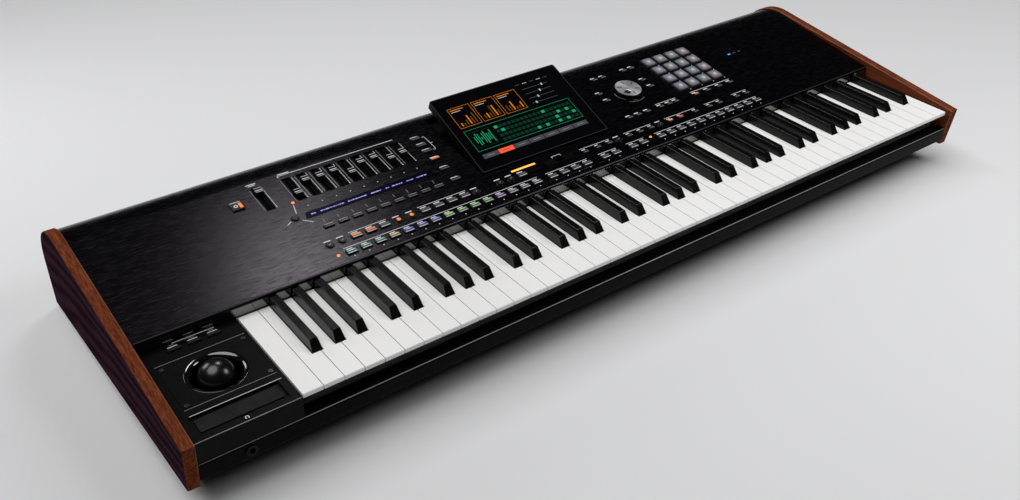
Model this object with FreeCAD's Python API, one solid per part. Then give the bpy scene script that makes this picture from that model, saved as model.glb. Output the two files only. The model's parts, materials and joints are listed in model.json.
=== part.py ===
import FreeCAD, Part
import math
import os

# Arranger keyboard with 76 keys, in millimetres.
# +X runs to the right along the keys, +Y to the back, +Z up.
# The origin is on the floor, under the middle of the case.

V = FreeCAD.Vector

# Case
case_depth = 416.0
side_thickness = 14.0
block_zone = 113.0
right_gap = 3.5
front_overhang = 8.0
key_top_height = 88.0
foot_height = 10.0
sheet = 2.5
pan_sheet = 3.0
bend_radius = 3.2

# Wooden side panels
side_front_rise = 3.0
side_front_drop = 54.0
side_front_lean = 6.0
side_back_rise = 49.0
side_back_clearance = 5.0
side_rear_radius = 68.0
side_edge_round = 1.6

# Top panel
panel_front_rise = 15.0
panel_back_rise = 47.5
panel_run = 203.0
panel_rear_inset = 2.0
panel_rear_radius = 66.0
flange_gap = 1.6
rear_joint_height = 66.0
seam = 0.3

# Bottom pan and front rail
pan_undercut_run = 60.0
pan_rear_flange = 24.0
rail_setback = 4.0
rail_top_drop = 26.0
rail_bottom_drop = 47.5
rail_shelf = 20.0
rail_shelf_fall = 2.5
rail_return = 13.0
boss_radius = 7.0
boss_inset = 40.0
boss_columns = 5
foot_radius = 14.0
foot_inset_x = 100.0
foot_inset_front = 93.0
foot_inset_back = 72.0
foot_edge = 1.5

# Fasteners
screw_head_radius = 2.4
screw_head_height = 1.2
screw_shank_radius = 1.5
screw_length = 9.0
screw_clearance = 0.1

# Keys
key_pitch = 23.5
white_count = 45
key_side_gap = 0.5
white_length = 149.0
lip_thickness = 5.0
lip_reach = 20.0
lip_round = 1.2
key_depth = 14.0
key_plate = 2.6
key_wall = 1.6
tail_drop = 4.0
tail_lead = 1.0
tail_room = 3.6
black_width = 12.0
black_top_width = 9.0
black_height = 12.0
black_front = 50.0
black_length = 97.0
black_slope = 8.0
black_round = 1.0
black_gap = 0.8
black_body_step = 0.6
pivot_setback = 205.0
pivot_drop = 8.0
pivot_radius = 2.5
pivot_clearance = 0.05
tail_radius = 4.0
key_travel_deg = 2.8

# Key frame
frame_floor = 44.0
frame_sheet = 3.0
frame_front = 18.0
frame_rear = 213.0
felt_height = 4.0
felt_width = 12.0
felt_clearance = 0.25
white_felt_at = 32.0
black_felt_at = 86.0
contact_at = 124.0
contact_width = 30.0
contact_board_height = 1.6
dome_height = 4.5
dome_width = 8.0
rear_beam_width = 14.0
tail_clearance = 1.0
cheek_thickness = 2.4
cheek_gap = 0.6
cheek_margin = 7.0

# Control block
block_setback = 3.0
block_wall = 2.5
block_side_gap = 1.0
block_tuck = 3.0
block_post = 12.0
block_edge = 1.2
plate_width = 97.0
plate_length = 74.0
plate_thickness = 2.0
plate_from_left = 58.5
plate_from_front = 84.0
plate_screw_x = 88.0
plate_screw_y = 63.4
dish_rim_radius = 30.0
dish_radius = 26.6
dish_slope_depth = 8.0
cup_wall = 2.5
cup_depth = 37.0
ball_radius = 20.0
ball_drop = 8.0
ball_cut = 6.0
stick_radius = 4.0
gimbal_drop = 28.0
gimbal_outer = 18.0
gimbal_inner = 12.0
gimbal_height = 8.0
gimbal_pin_radius = 2.0
gimbal_pin_clearance = 0.05
stick_tail = 5.0
tray_width = 94.0
tray_length = 27.0
tray_depth = 3.0
tray_from_front = 22.5
strip_margin = 4.0
strip_thickness = 1.4
bar_switch_width = 15.0
bar_switch_length = 3.6
bar_switch_pitch = 21.7
bar_switch_count = 3
bar_switch_from_front = 140.0

# Panel controls, measured from the lowest key and up the panel from its front edge
control_start = 150.3
control_pitch = 19.15
front_row_up = 15.4
second_row_up = 36.8
mixer_row_up = 67.5
dial_row_up = 69.5
button_width = 13.5
button_length = 7.0
bar_length = 4.6
small_width = 9.0
round_radius = 4.3
square_size = 15.0
button_lift = 2.2
button_body = 9.2
button_gap = 0.3
button_edge = 0.6
button_travel = 0.8
switch_size = 6.0

# Rows of buttons: places in steps of control_pitch from the first button of the front row,
# and for the dial's and the pads' rows from the middle of the dial and of the pads
front_row_start_shares = (0.0, 15.35, 20.0, 22.6, 25.3)
front_row_counts = (15, 4, 2, 2, 11)
second_row_shares = (0.97, 1.98, 2.96, 5.93, 6.95, 7.95, 8.95, 13.58)
second_small_shares = (19.1, 20.25, 21.3, 23.2, 24.25, 25.3, 27.2, 28.25, 29.8, 31.3, 32.35, 34.25, 35.3)
second_round_shares = (-0.85, 0.0, 3.95, 4.9, 9.85, 11.75, 12.65, 22.15, 26.2)
mixer_row_count = 9
side_column_share = 9.4
side_column_up = 117.5
side_column_length = 95.0
side_column_up_shares = (0.5, 0.34, 0.195, 0.0, -0.235, -0.5)
square_button_from_start = 77.5
square_button_up = 148.0
scene_knob_from_start = 28.5
scene_knob_up = 97.0

# Faders
fader_up = 147.6
fader_slot_length = 47.0
fader_slot_width = 11.4
fader_travel = 34.0
fader_first_share = -0.2
fader_single_from_first = 40.4
fader_rest_shares = (0.17, 0.70, 0.66, 0.71, 0.32, 0.68, 0.71, 0.38, 0.48)
single_rest_share = 0.86
cap_width = 10.2
cap_length = 11.5
cap_height = 5.0
cap_lift = 0.3
cap_top_share = 0.62
stem_width = 1.6
stem_length = 6.0
stem_depth = 6.0
groove_gap = 0.3
fader_body_width = 13.0
fader_body_length = 54.0
board_depth = 14.0
board_thickness = 1.6
board_margin = 16.0

# Strip display under the faders
strip_display_low = 90.3
strip_display_length = 11.2
strip_display_width = 183.0
strip_display_from_start = 17.2
strip_display_left_slant = 4.0
strip_display_right_slant = 7.5
strip_display_thickness = 4.0
strip_display_lift = 0.3

# Tilting display
display_from_key = 367.2
display_width = 210.0
display_length = 134.0
display_thickness = 9.0
display_up = 63.6
display_proud = 3.0
display_rest_deg = 12.4
display_corner = 4.0
display_wall = 2.0
display_rim = 6.0
display_pin_in = 6.0
display_pin_radius = 1.2
display_pin_cover = 0.5
display_pin_clearance = 0.05
display_gap = 1.2
display_front_gap = 3.5
glass_thickness = 1.4
glass_margin = 1.2
tray_wall = 2.6
tray_floor = 1.6
tray_room = 4.0

# Value dial
dial_from_display = 87.4
dial_up = 121.7
dial_radius = 20.2
dial_height = 6.8
dial_lift = 1.2
dial_crown = 1.2
dial_edge = 0.8
dimple_radius = 4.6
dimple_depth = 1.2
dimple_share = 0.54
dimple_bearing_deg = 226.0
shaft_radius = 3.0
shaft_clearance = 0.05
encoder_size = 16.0
dial_side_reach = 42.0
dial_side_up = 116.4
dial_side_step = 18.0
dial_side_rows = 2
dial_top_up = 167.0
dial_top_shares = (-1.26, -0.46, 1.69, 2.49)
dial_row_shares = (-2.11, -1.26, -0.36, 0.99, 1.84, 2.54)

# Pads
pad_count = 4
pad_pitch = 23.6
pad_size = 19.2
pads_from_dial = 116.4
pad_row_shares = (-1.435, -0.185, 1.065, 2.265)
pads_up = 130.5
pad_lift = 3.4
pad_body = 8.5
pad_edge = 1.2
pad_travel = 1.2

# Sockets
jack_radius = 3.3
jack_bush_radius = 5.4
jack_nut_radius = 6.4
jack_nut_height = 1.8
jack_length = 16.0
jack_pitch = 24.0
rear_jack_count = 6
rear_jack_start = 250.0
rear_socket_height = 46.0
phones_from_key = 60.0
phones_drop = 36.5
din_radius = 7.8
din_outer = 10.5
din_pitch = 26.0
din_start = 40.0
din_count = 2
din_depth = 12.0
usb_width = 13.2
usb_height = 5.6
usb_depth = 13.0
usb_wall = 1.4
usb_pitch = 24.0
usb_start = -30.0
usb_count = 2
front_usb_from_key = 474.5
front_usb_up = 40.5
front_usb_plate_width = 46.0
front_usb_plate_length = 10.6
front_usb_lift = 0.2
front_usb_slot_length = 7.0
inlet_width = 28.0
inlet_height = 21.0
inlet_opening_width = 24.4
inlet_opening_height = 16.4
inlet_depth = 17.0
inlet_flange = 3.5
inlet_flange_height = 1.6
inlet_at = -500.0
rocker_width = 13.0
rocker_height = 20.0
rocker_body = 12.0
rocker_proud = 0.6
rocker_at = -450.0
rocker_tilt_deg = 8.0
rocker_gap = 0.5
rocker_axle_radius = 1.5
rocker_axle_reach = 2.0
rocker_axle_clearance = 0.05
rocker_lug = 3.0

# Inner boards
main_board_width = 360.0
main_board_length = 80.0
main_board_at = 130.0
chip_size = 34.0
chip_height = 5.0
chip_shares = (-0.6, -0.1, 0.45)
supply_width = 150.0
supply_length = 80.0
supply_height = 38.0
supply_at = -450.0
stand_off_height = 8.0
stand_off_radius = 4.0
inner_gap = 10.0

# One overrun serves every cut, and one tolerance finds edges by their place
over = 2.0
tolerance = 0.002

# Places worked out from the sizes
keys_width = key_pitch * white_count
case_width = 2 * side_thickness + block_zone + keys_width + right_gap
left_inner = -case_width / 2 + side_thickness
right_inner = case_width / 2 - side_thickness
key_left = left_inner + block_zone
key_right = key_left + keys_width
front_y = -case_depth / 2
back_y = case_depth / 2
key_front = front_y + front_overhang
flange_y = key_front + white_length
panel_back_y = flange_y + panel_run
panel_rear_y = back_y - panel_rear_inset
panel_front_z = key_top_height + panel_front_rise
panel_back_z = key_top_height + panel_back_rise
panel_angle = math.degrees(math.atan2(panel_back_z - panel_front_z, panel_run))
panel_frame = FreeCAD.Placement(V(0, flange_y, panel_front_z), FreeCAD.Rotation(V(1, 0, 0), panel_angle))
pivot_y = key_front + pivot_setback
pivot_z = key_top_height - pivot_drop
key_bottom_z = key_top_height - key_depth
rail_y = front_y + rail_setback
rail_top_z = key_top_height - rail_top_drop
rail_bottom_z = key_top_height - rail_bottom_drop
pan_top = foot_height + pan_sheet
control_x = key_left + control_start
fader_x = control_x + fader_first_share * control_pitch
board_lift = -board_depth
display_left = key_left + display_from_key
dial_x = display_left + display_width + dial_from_display
pads_x = dial_x + pads_from_dial
plate_x = left_inner + plate_from_left + block_side_gap
plate_y = front_y + plate_from_front + front_overhang - block_setback
hole_radius = screw_shank_radius + screw_clearance


# Small geometry helpers

def box(x0, x1, y0, y1, z0, z1):
    """Box between two corners."""
    return Part.makeBox(x1 - x0, y1 - y0, z1 - z0, V(x0, y0, z0))


def rod(radius, start, direction, length):
    """Round bar from a start point along a direction."""
    return Part.makeCylinder(radius, length, start, direction)


def tangent_points(before, corner, after, radius):
    """Start, middle and end of the arc that rounds a corner."""
    a = (before - corner).normalize()
    b = (after - corner).normalize()
    half = a.getAngle(b) / 2
    reach = radius / math.tan(half)
    middle = (a + b).normalize() * (radius / math.sin(half) - radius)
    return corner + a * reach, corner + middle, corner + b * reach


def rounded_face(points, radii):
    """Flat face of a closed outline whose corners may be rounded."""
    edges = []
    count = len(points)
    ends = []
    for i in range(count):
        corner = points[i]
        if radii[i] > 0:
            ends.append(tangent_points(points[i - 1], corner, points[(i + 1) % count], radii[i]))
        else:
            ends.append((corner, None, corner))
    for i in range(count):
        first, middle, last = ends[i]
        if middle is not None:
            edges.append(Part.Arc(first, middle, last).toShape())
        following = ends[(i + 1) % count][0]
        edges.append(Part.LineSegment(last, following).toShape())
    return Part.Face(Part.Wire(edges))


def along_x(outline, x0, x1, radii=None):
    """Outline of (y, z) points carried along X."""
    points = [V(x0, y, z) for y, z in outline]
    return rounded_face(points, radii or [0] * len(points)).extrude(V(x1 - x0, 0, 0))


def bent_sheet(path, radii, thickness, x0, x1):
    """Sheet of even thickness along a (y, z) path, bent to the right of the path, carried along X."""
    outer = [V(x0, y, z) for y, z in path]
    inner = []
    steps = [(outer[i + 1] - outer[i]).normalize() for i in range(len(outer) - 1)]
    sides = [V(0, step.z, -step.y) for step in steps]
    for i, point in enumerate(outer):
        if i == 0:
            shift = sides[0]
        elif i == len(outer) - 1:
            shift = sides[-1]
        else:
            total = sides[i - 1] + sides[i]
            shift = total * (2 / total.dot(total))
        inner.append(point + shift * thickness)
    bends = [0] + list(radii) + [0]
    inner_bends = [max(r - thickness, 0) for r in bends]
    points = outer + inner[::-1]
    return rounded_face(points, bends + inner_bends[::-1]).extrude(V(x1 - x0, 0, 0))


def on_panel(shape):
    """Put a shape made on a level panel onto the sloped one."""
    shape.Placement = panel_frame.multiply(shape.Placement)
    return shape


def panel_box(x, up, width, length, low, high):
    """Box centred on a place of the panel, between two heights over its surface."""
    return on_panel(box(x - width / 2, x + width / 2, up - length / 2, up + length / 2, low, high))


def panel_rod(x, up, radius, low, high):
    """Round bar square to the panel."""
    return on_panel(rod(radius, V(x, up, low), V(0, 0, 1), high - low))


def top_edges(shape, height):
    """Edges of a shape that lie at one height."""
    return [e for e in shape.Edges if all(abs(v.Point.z - height) < tolerance for v in e.Vertexes)]


def group(solids):
    """Several separate solids as one node."""
    return Part.makeCompound(solids)


# Places of the panel's buttons, as (x, up, width, length), or a radius where the cap is round

def step_x(share):
    return control_x + share * control_pitch


def front_row_places():
    places = []
    for start, count in zip(front_row_start_shares, front_row_counts):
        for i in range(count):
            places.append((step_x(start + i), front_row_up, button_width, button_length))
    return places


def second_row_places():
    wide = [(step_x(s), second_row_up, button_width, button_length) for s in second_row_shares]
    small = [(step_x(s), second_row_up, small_width, bar_length) for s in second_small_shares]
    return wide + small


def second_round_places():
    return [(step_x(s), second_row_up) for s in second_round_shares]


def mixer_places():
    row = [(step_x(i), mixer_row_up, button_width, bar_length) for i in range(mixer_row_count)]
    column = []
    for share in side_column_up_shares:
        up = side_column_up + share * side_column_length
        column.append((step_x(side_column_share), up, button_width, bar_length))
    square = (control_x - square_button_from_start, square_button_up, square_size, square_size)
    return row + column + [square]


def dial_places():
    row_xs = [dial_x + s * control_pitch for s in dial_row_shares]
    row_xs += [pads_x + s * control_pitch for s in pad_row_shares]
    row = [(x, dial_row_up, small_width, bar_length) for x in row_xs]
    top = [(dial_x + s * control_pitch, dial_top_up, small_width, bar_length) for s in dial_top_shares]
    sides = []
    for row_up in [dial_side_up + i * dial_side_step for i in range(dial_side_rows)]:
        for side in (-1, 1):
            sides.append((dial_x + side * dial_side_reach, row_up, small_width, bar_length))
    return row + top + sides


def pad_places():
    middle = (pad_count - 1) / 2
    places = []
    for row in range(pad_count):
        for column in range(pad_count):
            places.append((pads_x + (column - middle) * pad_pitch, pads_up + (row - middle) * pad_pitch))
    return places


def fader_xs():
    xs = [fader_x + i * control_pitch for i in range(len(fader_rest_shares))]
    return [fader_x - fader_single_from_first] + xs


def block_switch_places():
    first = plate_x + block_side_gap - (bar_switch_count - 1) / 2 * bar_switch_pitch
    return [first + i * bar_switch_pitch for i in range(bar_switch_count)]


# Buttons

def cap(x, up, width, length, low, high, edge):
    """Button cap with a bevelled top, square to the panel."""
    body = box(x - width / 2, x + width / 2, up - length / 2, up + length / 2, low, high)
    return on_panel(body.makeChamfer(edge, top_edges(body, high)))


def round_cap(x, up, radius, low, high, edge):
    body = rod(radius, V(x, up, low), V(0, 0, 1), high - low)
    return on_panel(body.makeChamfer(edge, top_edges(body, high)))


def button_bank(places, rounds=()):
    caps = [cap(x, up, w, l, -button_body, button_lift, button_edge) for x, up, w, l in places]
    caps += [round_cap(x, up, round_radius, -button_body, button_lift, button_edge) for x, up in rounds]
    return group(caps)


def mixer_buttons():
    return button_bank(mixer_places(), [(control_x - scene_knob_from_start, scene_knob_up)])


def all_button_places():
    return front_row_places() + second_row_places() + mixer_places() + dial_places()


def all_round_places():
    return second_round_places() + [(control_x - scene_knob_from_start, scene_knob_up)]


def pads():
    return group([cap(x, up, pad_size, pad_size, -pad_body, pad_lift, pad_edge) for x, up in pad_places()])


# Case

def side_panel(x0, x1):
    """Wooden end: straight sloped top, round rear top corner, rising bottom edge."""
    slope = (side_back_rise - side_front_rise) / (panel_back_y - front_y)
    rear_top = key_top_height + side_front_rise + slope * case_depth
    outline = (
        (front_y + side_front_lean, key_top_height - side_front_drop),
        (front_y, key_top_height + side_front_rise),
        (back_y, rear_top),
        (back_y, side_back_clearance),
    )
    wood = along_x(outline, x0, x1, (0, 0, side_rear_radius, 0))
    return wood.makeFillet(side_edge_round, [e for e in wood.Edges if not is_along_x(e)])


def is_along_x(edge):
    ends = [v.Point for v in edge.Vertexes]
    return len(ends) == 2 and abs(ends[0].x - ends[1].x) > over


def panel_outline():
    """Flange foot, front corner, rear corner and rear foot of the top panel."""
    rise = math.tan(math.radians(panel_angle)) * (panel_rear_y - flange_y)
    return (
        (flange_y, key_top_height + flange_gap),
        (flange_y, panel_front_z),
        (panel_rear_y, panel_front_z + rise),
        (panel_rear_y, rear_joint_height),
    )


def rear_bend_radius():
    """Radius of the rear bend, kept within the rear wall and the room behind the faders."""
    corner_z = panel_outline()[2][1]
    half = math.radians(90 - panel_angle) / 2
    panel_length = (panel_rear_y - flange_y) / math.cos(math.radians(panel_angle))
    behind = panel_length - fader_up - fader_body_length / 2 - sheet
    room = min(corner_z - rear_joint_height - seam, behind)
    return min(panel_rear_radius, room * math.tan(half))


def bare_panel():
    """The bent sheet before its windows are cut."""
    bends = (bend_radius, rear_bend_radius())
    return bent_sheet(panel_outline(), bends, sheet, left_inner, right_inner)


def under_panel():
    """Room under the bent sheet, down to the pan."""
    front, rear = panel_outline()[1:3]
    outline = ((flange_y, foot_height), front, rear, (panel_rear_y, foot_height))
    room = along_x(outline, left_inner, right_inner, (0, bend_radius, rear_bend_radius(), 0))
    return room.cut(bare_panel())


def strip_outline(grow, low, high):
    """Slim strip display: a bar with slanted ends."""
    x0 = control_x - strip_display_from_start
    x1 = x0 + strip_display_width
    s0 = strip_display_low
    s1 = s0 + strip_display_length
    points = [
        V(x0 - grow, s0 - grow, low),
        V(x1 + grow, s0 - grow, low),
        V(x1 - strip_display_right_slant + grow, s1 + grow, low),
        V(x0 + strip_display_left_slant - grow, s1 + grow, low),
    ]
    return on_panel(rounded_face(points, [0] * len(points)).extrude(V(0, 0, high - low)))


def top_panel():
    """Bent sheet with the windows of every control."""
    body = bare_panel()
    low, high = -sheet - over, over
    cuts = []
    for x, up, w, l in all_button_places():
        cuts.append(panel_box(x, up, w + 2 * button_gap, l + 2 * button_gap, low, high))
    for x, up in all_round_places():
        cuts.append(panel_rod(x, up, round_radius + button_gap, low, high))
    size = pad_size + 2 * button_gap
    for x, up in pad_places():
        cuts.append(panel_box(x, up, size, size, low, high))
    for x in fader_xs():
        cuts.append(panel_box(x, fader_up, fader_slot_width, fader_slot_length, low, high))
    cuts.append(panel_rod(dial_x, dial_up, shaft_radius + shaft_clearance, low, high))
    cuts.append(strip_outline(seam, low, high))
    cuts.append(on_panel(display_well(0, low - display_thickness, high)))
    usb_x = key_left + front_usb_from_key
    width = front_usb_plate_width + 2 * seam
    length = front_usb_plate_length + 2 * seam
    cuts.append(panel_box(usb_x, front_usb_up, width, length, low, high))
    return body.cut(cuts)


def display_well(grow, low, high):
    """Opening that the display lies in when it is folded flat."""
    x0 = display_left - display_gap - grow
    x1 = display_left + display_width + display_gap + grow
    s0 = display_up - display_front_gap - grow
    s1 = display_up + display_length + display_gap + grow
    return box(x0, x1, s0, s1, low, high)


def boss_places():
    first = left_inner + block_zone + boss_inset
    last = right_inner - boss_inset
    places = []
    for i in range(boss_columns):
        x = first + (last - first) * i / (boss_columns - 1)
        places.append((x, key_front + white_felt_at + boss_inset))
        places.append((x, pivot_y - boss_radius))
    return places


def bottom_case():
    """Pan with a chamfered front, a rear flange and bosses for the key frame."""
    path = (
        (rail_y + rail_return, rail_bottom_z + pan_sheet),
        (front_y + front_overhang + pan_undercut_run, foot_height),
        (panel_rear_y - sheet, foot_height),
        (panel_rear_y - sheet, foot_height + pan_rear_flange),
    )
    turned = tuple(reversed(path))
    body = bent_sheet(turned, (bend_radius, bend_radius), pan_sheet, left_inner, right_inner)
    above = box(left_inner - over, right_inner + over, front_y, flange_y, rail_bottom_z, key_top_height)
    body = body.cut(above)
    bosses = [along_x(path, x, x + pan_sheet) for x in (left_inner, right_inner - pan_sheet)]
    bosses = [wall.cut(above) for wall in bosses]
    for x, y in boss_places():
        bosses.append(rod(boss_radius, V(x, y, pan_top), V(0, 0, 1), frame_floor - pan_top))
    for x, y in stand_offs():
        bosses.append(rod(stand_off_radius, V(x, y, pan_top), V(0, 0, 1), stand_off_height))
    body = body.fuse(bosses)
    holes = []
    for x, y in boss_places():
        holes.append(rod(hole_radius, V(x, y, foot_height - over), V(0, 0, 1), screw_length + 2 * over))
    for x in rear_screw_xs():
        start = V(x, panel_rear_y + over, rear_screw_z())
        holes.append(rod(hole_radius, start, V(0, -1, 0), screw_length + 2 * over))
    return body.cut(holes)


def rear_screw_z():
    return foot_height + pan_rear_flange / 2 + pan_sheet


def rear_screw_xs():
    span = right_inner - left_inner - 2 * boss_inset
    return [left_inner + boss_inset + span * i / boss_columns for i in range(boss_columns + 1)]


def stand_offs():
    places = []
    sides = (-1, 1)
    reach = boss_radius
    for middle, width, length in (
        (main_board_at, main_board_width, main_board_length),
        (supply_at, supply_width, supply_length),
    ):
        for a in sides:
            for b in sides:
                places.append((middle + a * (width / 2 - reach), inner_y(length) + b * (length / 2 - reach)))
    return places


def front_rail():
    """Bent rail under the key fronts: shelf, front wall and a return at its foot."""
    path = (
        (rail_y + rail_shelf, rail_top_z - rail_shelf_fall),
        (rail_y, rail_top_z),
        (rail_y, rail_bottom_z),
        (rail_y + rail_return, rail_bottom_z),
    )
    turned = tuple(reversed(path))
    body = bent_sheet(turned, (bend_radius, bend_radius), sheet, left_inner, right_inner)
    start = V(phones_x(), rail_y - over, phones_z())
    phones = rod(jack_bush_radius + seam, start, V(0, 1, 0), sheet + 2 * over)
    return body.cut(phones)


def rear_panel():
    """Flat plate at the back with the windows of the sockets."""
    y0, y1 = panel_rear_y - sheet, panel_rear_y
    body = box(left_inner, right_inner, y0, y1, foot_height, rear_joint_height - seam)
    rounds = [(x, jack_bush_radius + seam, rear_socket_height) for x in rear_jack_xs()]
    rounds += [(x, din_outer + seam, rear_socket_height) for x in din_xs()]
    rounds += [(x, hole_radius, rear_screw_z()) for x in rear_screw_xs()]
    cuts = [rod(r, V(x, y0 - over, z), V(0, 1, 0), sheet + 2 * over) for x, r, z in rounds]
    for x in usb_xs():
        cuts.append(window(x, usb_width + 2 * usb_wall, usb_height + 2 * usb_wall))
    cuts.append(window(inlet_at, inlet_width, inlet_height))
    cuts.append(window(rocker_at, rocker_width + 2 * rocker_gap, rocker_height + 2 * rocker_gap))
    return body.cut(cuts)


def window(x, width, height):
    """Cutter for a rectangular socket in the rear panel."""
    w = width / 2 + seam
    h = height / 2 + seam
    z = rear_socket_height
    return box(x - w, x + w, panel_rear_y - sheet - over, panel_rear_y + over, z - h, z + h)


def rubber_feet():
    feet = []
    for x in (left_inner + foot_inset_x, 0, right_inner - foot_inset_x):
        for y in (front_y + foot_inset_front, back_y - foot_inset_back):
            foot = rod(foot_radius, V(x, y, 0), V(0, 0, 1), foot_height)
            feet.append(foot.makeChamfer(foot_edge, top_edges(foot, 0)))
    return group(feet)


def screw(place, direction):
    """Pan head screw whose head sits on a face; the direction points into the part."""
    head = rod(screw_head_radius, place, direction * -1, screw_head_height)
    shank = rod(screw_shank_radius, place, direction, screw_length)
    return head.fuse(shank).removeSplitter()


def screws():
    found = [screw(V(x, y, foot_height), V(0, 0, 1)) for x, y in boss_places()]
    found += [screw(V(x, panel_rear_y, rear_screw_z()), V(0, -1, 0)) for x in rear_screw_xs()]
    found += [screw(V(x, y, key_top_height), V(0, 0, -1)) for x, y in plate_screw_places()]
    return group(found)


# Keys

black_after = {"F": "f_sharp", "G": "g_sharp", "A": "a_sharp", "C": "c_sharp", "D": "d_sharp"}
white_names = ("E", "F", "G", "A", "B", "C", "D")


def note_of(index):
    return white_names[index % len(white_names)]


def black_centre(index):
    """Middle of the black key after a white key: three share four whites, two share three."""
    note = note_of(index)
    if note in ("F", "G", "A"):
        first = index - ("F", "G", "A").index(note)
        place = 1.5 + 2 * ("F", "G", "A").index(note)
        unit = key_pitch * 4 / 7
    else:
        first = index - ("C", "D").index(note)
        place = 1.5 + 2 * ("C", "D").index(note)
        unit = key_pitch * 3 / 5
    return key_left + first * key_pitch + place * unit


def has_black_after(index):
    return 0 <= index < white_count - 1 and note_of(index) in black_after


def tail(x0, x1):
    """Round knuckle at the back of a key, on the pivot rod."""
    return rod(tail_radius, V(x0, pivot_y, pivot_z), V(1, 0, 0), x1 - x0)


def pivot_bore(x0, x1):
    radius = pivot_radius + pivot_clearance
    return rod(radius, V(x0 - over, pivot_y, pivot_z), V(1, 0, 0), x1 - x0 + 2 * over)


def tail_step(x0, x1):
    """Room over the back of a key, under the top panel."""
    end = pivot_y + tail_radius + over
    return box(x0 - over, x1 + over, flange_y - tail_lead, end, key_top_height - tail_drop, panel_back_z)


def white_key(index):
    """White key: overhanging lip, notches for its black neighbours, hollow underside, knuckle."""
    left = key_left + index * key_pitch + key_side_gap
    right = key_left + (index + 1) * key_pitch - key_side_gap
    stem_left, stem_right = left, right
    reach = black_width / 2 + black_gap
    if has_black_after(index - 1):
        stem_left = black_centre(index - 1) + reach
    if has_black_after(index):
        stem_right = black_centre(index) - reach
    notch = key_front + black_front - black_gap
    outline = [(left, key_front), (right, key_front)]
    if stem_right < right:
        outline += [(right, notch), (stem_right, notch)]
    outline += [(stem_right, pivot_y), (stem_left, pivot_y)]
    if stem_left > left:
        outline += [(stem_left, notch), (left, notch)]
    points = [V(x, y, key_bottom_z) for x, y in outline]
    body = Part.Face(Part.makePolygon(points + points[:1])).extrude(V(0, 0, key_depth))
    lip_back = key_front + lip_reach
    under_lip = box(left - over, right + over, key_front - over, lip_back,
                    key_bottom_z - over, key_top_height - lip_thickness)
    hollow = box(stem_left + key_wall, stem_right - key_wall, lip_back + key_wall, flange_y - tail_room,
                 key_bottom_z - over, key_top_height - key_plate)
    body = body.cut([under_lip, hollow, tail_step(left, right)])
    edges = top_edges(body, key_top_height)
    front = [e for e in edges if all(v.Point.y < key_front + lip_round for v in e.Vertexes)]
    body = body.makeFillet(lip_round, front)
    return body.fuse(tail(stem_left, stem_right)).cut(pivot_bore(stem_left, stem_right)).removeSplitter()


def black_key(index):
    """Black key: tapered top with a sloped front on a lower body with a knuckle."""
    x = black_centre(index)
    base, top = black_width / 2, black_top_width / 2
    start = key_front + black_front
    end = start + black_length
    z = key_top_height + black_height
    wires = []
    for half, front, height in ((base, start, key_top_height), (top, start + black_slope, z)):
        corners = ((x - half, front), (x + half, front), (x + half, end), (x - half, end))
        points = [V(a, b, height) for a, b in corners]
        wires.append(Part.makePolygon(points + points[:1]))
    upper = Part.makeLoft(wires, True, True)
    upper = upper.makeFillet(black_round, top_edges(upper, z))
    half = base - black_body_step
    body_front = start + black_body_step
    body = box(x - half, x + half, body_front, pivot_y, key_bottom_z, key_top_height)
    hollow = box(x - half + key_wall, x + half - key_wall, body_front + key_wall, flange_y - tail_room,
                 key_bottom_z - over, key_top_height - key_plate)
    body = body.cut([hollow, tail_step(x - half, x + half)])
    return body.fuse([upper, tail(x - half, x + half)]).cut(pivot_bore(x - half, x + half)).removeSplitter()


def key_nodes():
    """All keys of one note share a node."""
    notes = {}
    for index in range(white_count):
        notes.setdefault("keys_" + note_of(index).lower(), []).append(white_key(index))
        if has_black_after(index):
            notes.setdefault("keys_" + black_after[note_of(index)], []).append(black_key(index))
    return {name: group(keys) for name, keys in notes.items()}


def key_drop(back):
    """How far the underside of a key goes down, at a distance behind the key fronts."""
    return (pivot_setback - back) * math.sin(math.radians(key_travel_deg))


def felt_top(back):
    return key_bottom_z - key_drop(back - felt_width / 2) - felt_clearance


def contact_top():
    return key_bottom_z - key_drop(contact_at - dome_width / 2) - felt_clearance


def frame_span():
    return key_left - cheek_gap - cheek_thickness, key_right + cheek_gap + cheek_thickness


def key_frame():
    """Pressed frame under the keys: felt and contact shelves, rear beam, two cheeks for the pivot rod."""
    def at(back):
        return key_front + back
    floor_top = frame_floor + frame_sheet
    white_shelf = felt_top(white_felt_at) - felt_height
    black_shelf = felt_top(black_felt_at) - felt_height
    board_shelf = contact_top() - dome_height - contact_board_height
    beam_top = key_bottom_z - key_drop(frame_rear - rear_beam_width) - tail_clearance
    half = felt_width / 2
    wide = contact_width / 2
    outline = (
        (at(frame_front), frame_floor),
        (at(frame_rear), frame_floor),
        (at(frame_rear), beam_top),
        (at(frame_rear - rear_beam_width), beam_top),
        (at(frame_rear - rear_beam_width), floor_top),
        (at(contact_at + wide), floor_top),
        (at(contact_at + wide), board_shelf),
        (at(contact_at - wide), board_shelf),
        (at(contact_at - wide), floor_top),
        (at(black_felt_at + half), floor_top),
        (at(black_felt_at + half), black_shelf),
        (at(black_felt_at - half), black_shelf),
        (at(black_felt_at - half), floor_top),
        (at(white_felt_at + half), floor_top),
        (at(white_felt_at + half), white_shelf),
        (at(frame_front), white_shelf),
    )
    x0, x1 = frame_span()
    body = along_x(outline, key_left, key_right)
    cheeks = [box(x0, x1, at(frame_rear - rear_beam_width), at(frame_rear), frame_floor, beam_top)]
    for x in (x0, x1 - cheek_thickness):
        cheeks.append(box(x, x + cheek_thickness, pivot_y - cheek_margin, pivot_y + cheek_margin,
                          frame_floor, pivot_z + cheek_margin - pivot_radius))
    bore = rod(pivot_radius, V(x0 - over, pivot_y, pivot_z), V(1, 0, 0), x1 - x0 + 2 * over)
    return body.fuse(cheeks).cut(bore).removeSplitter()


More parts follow.
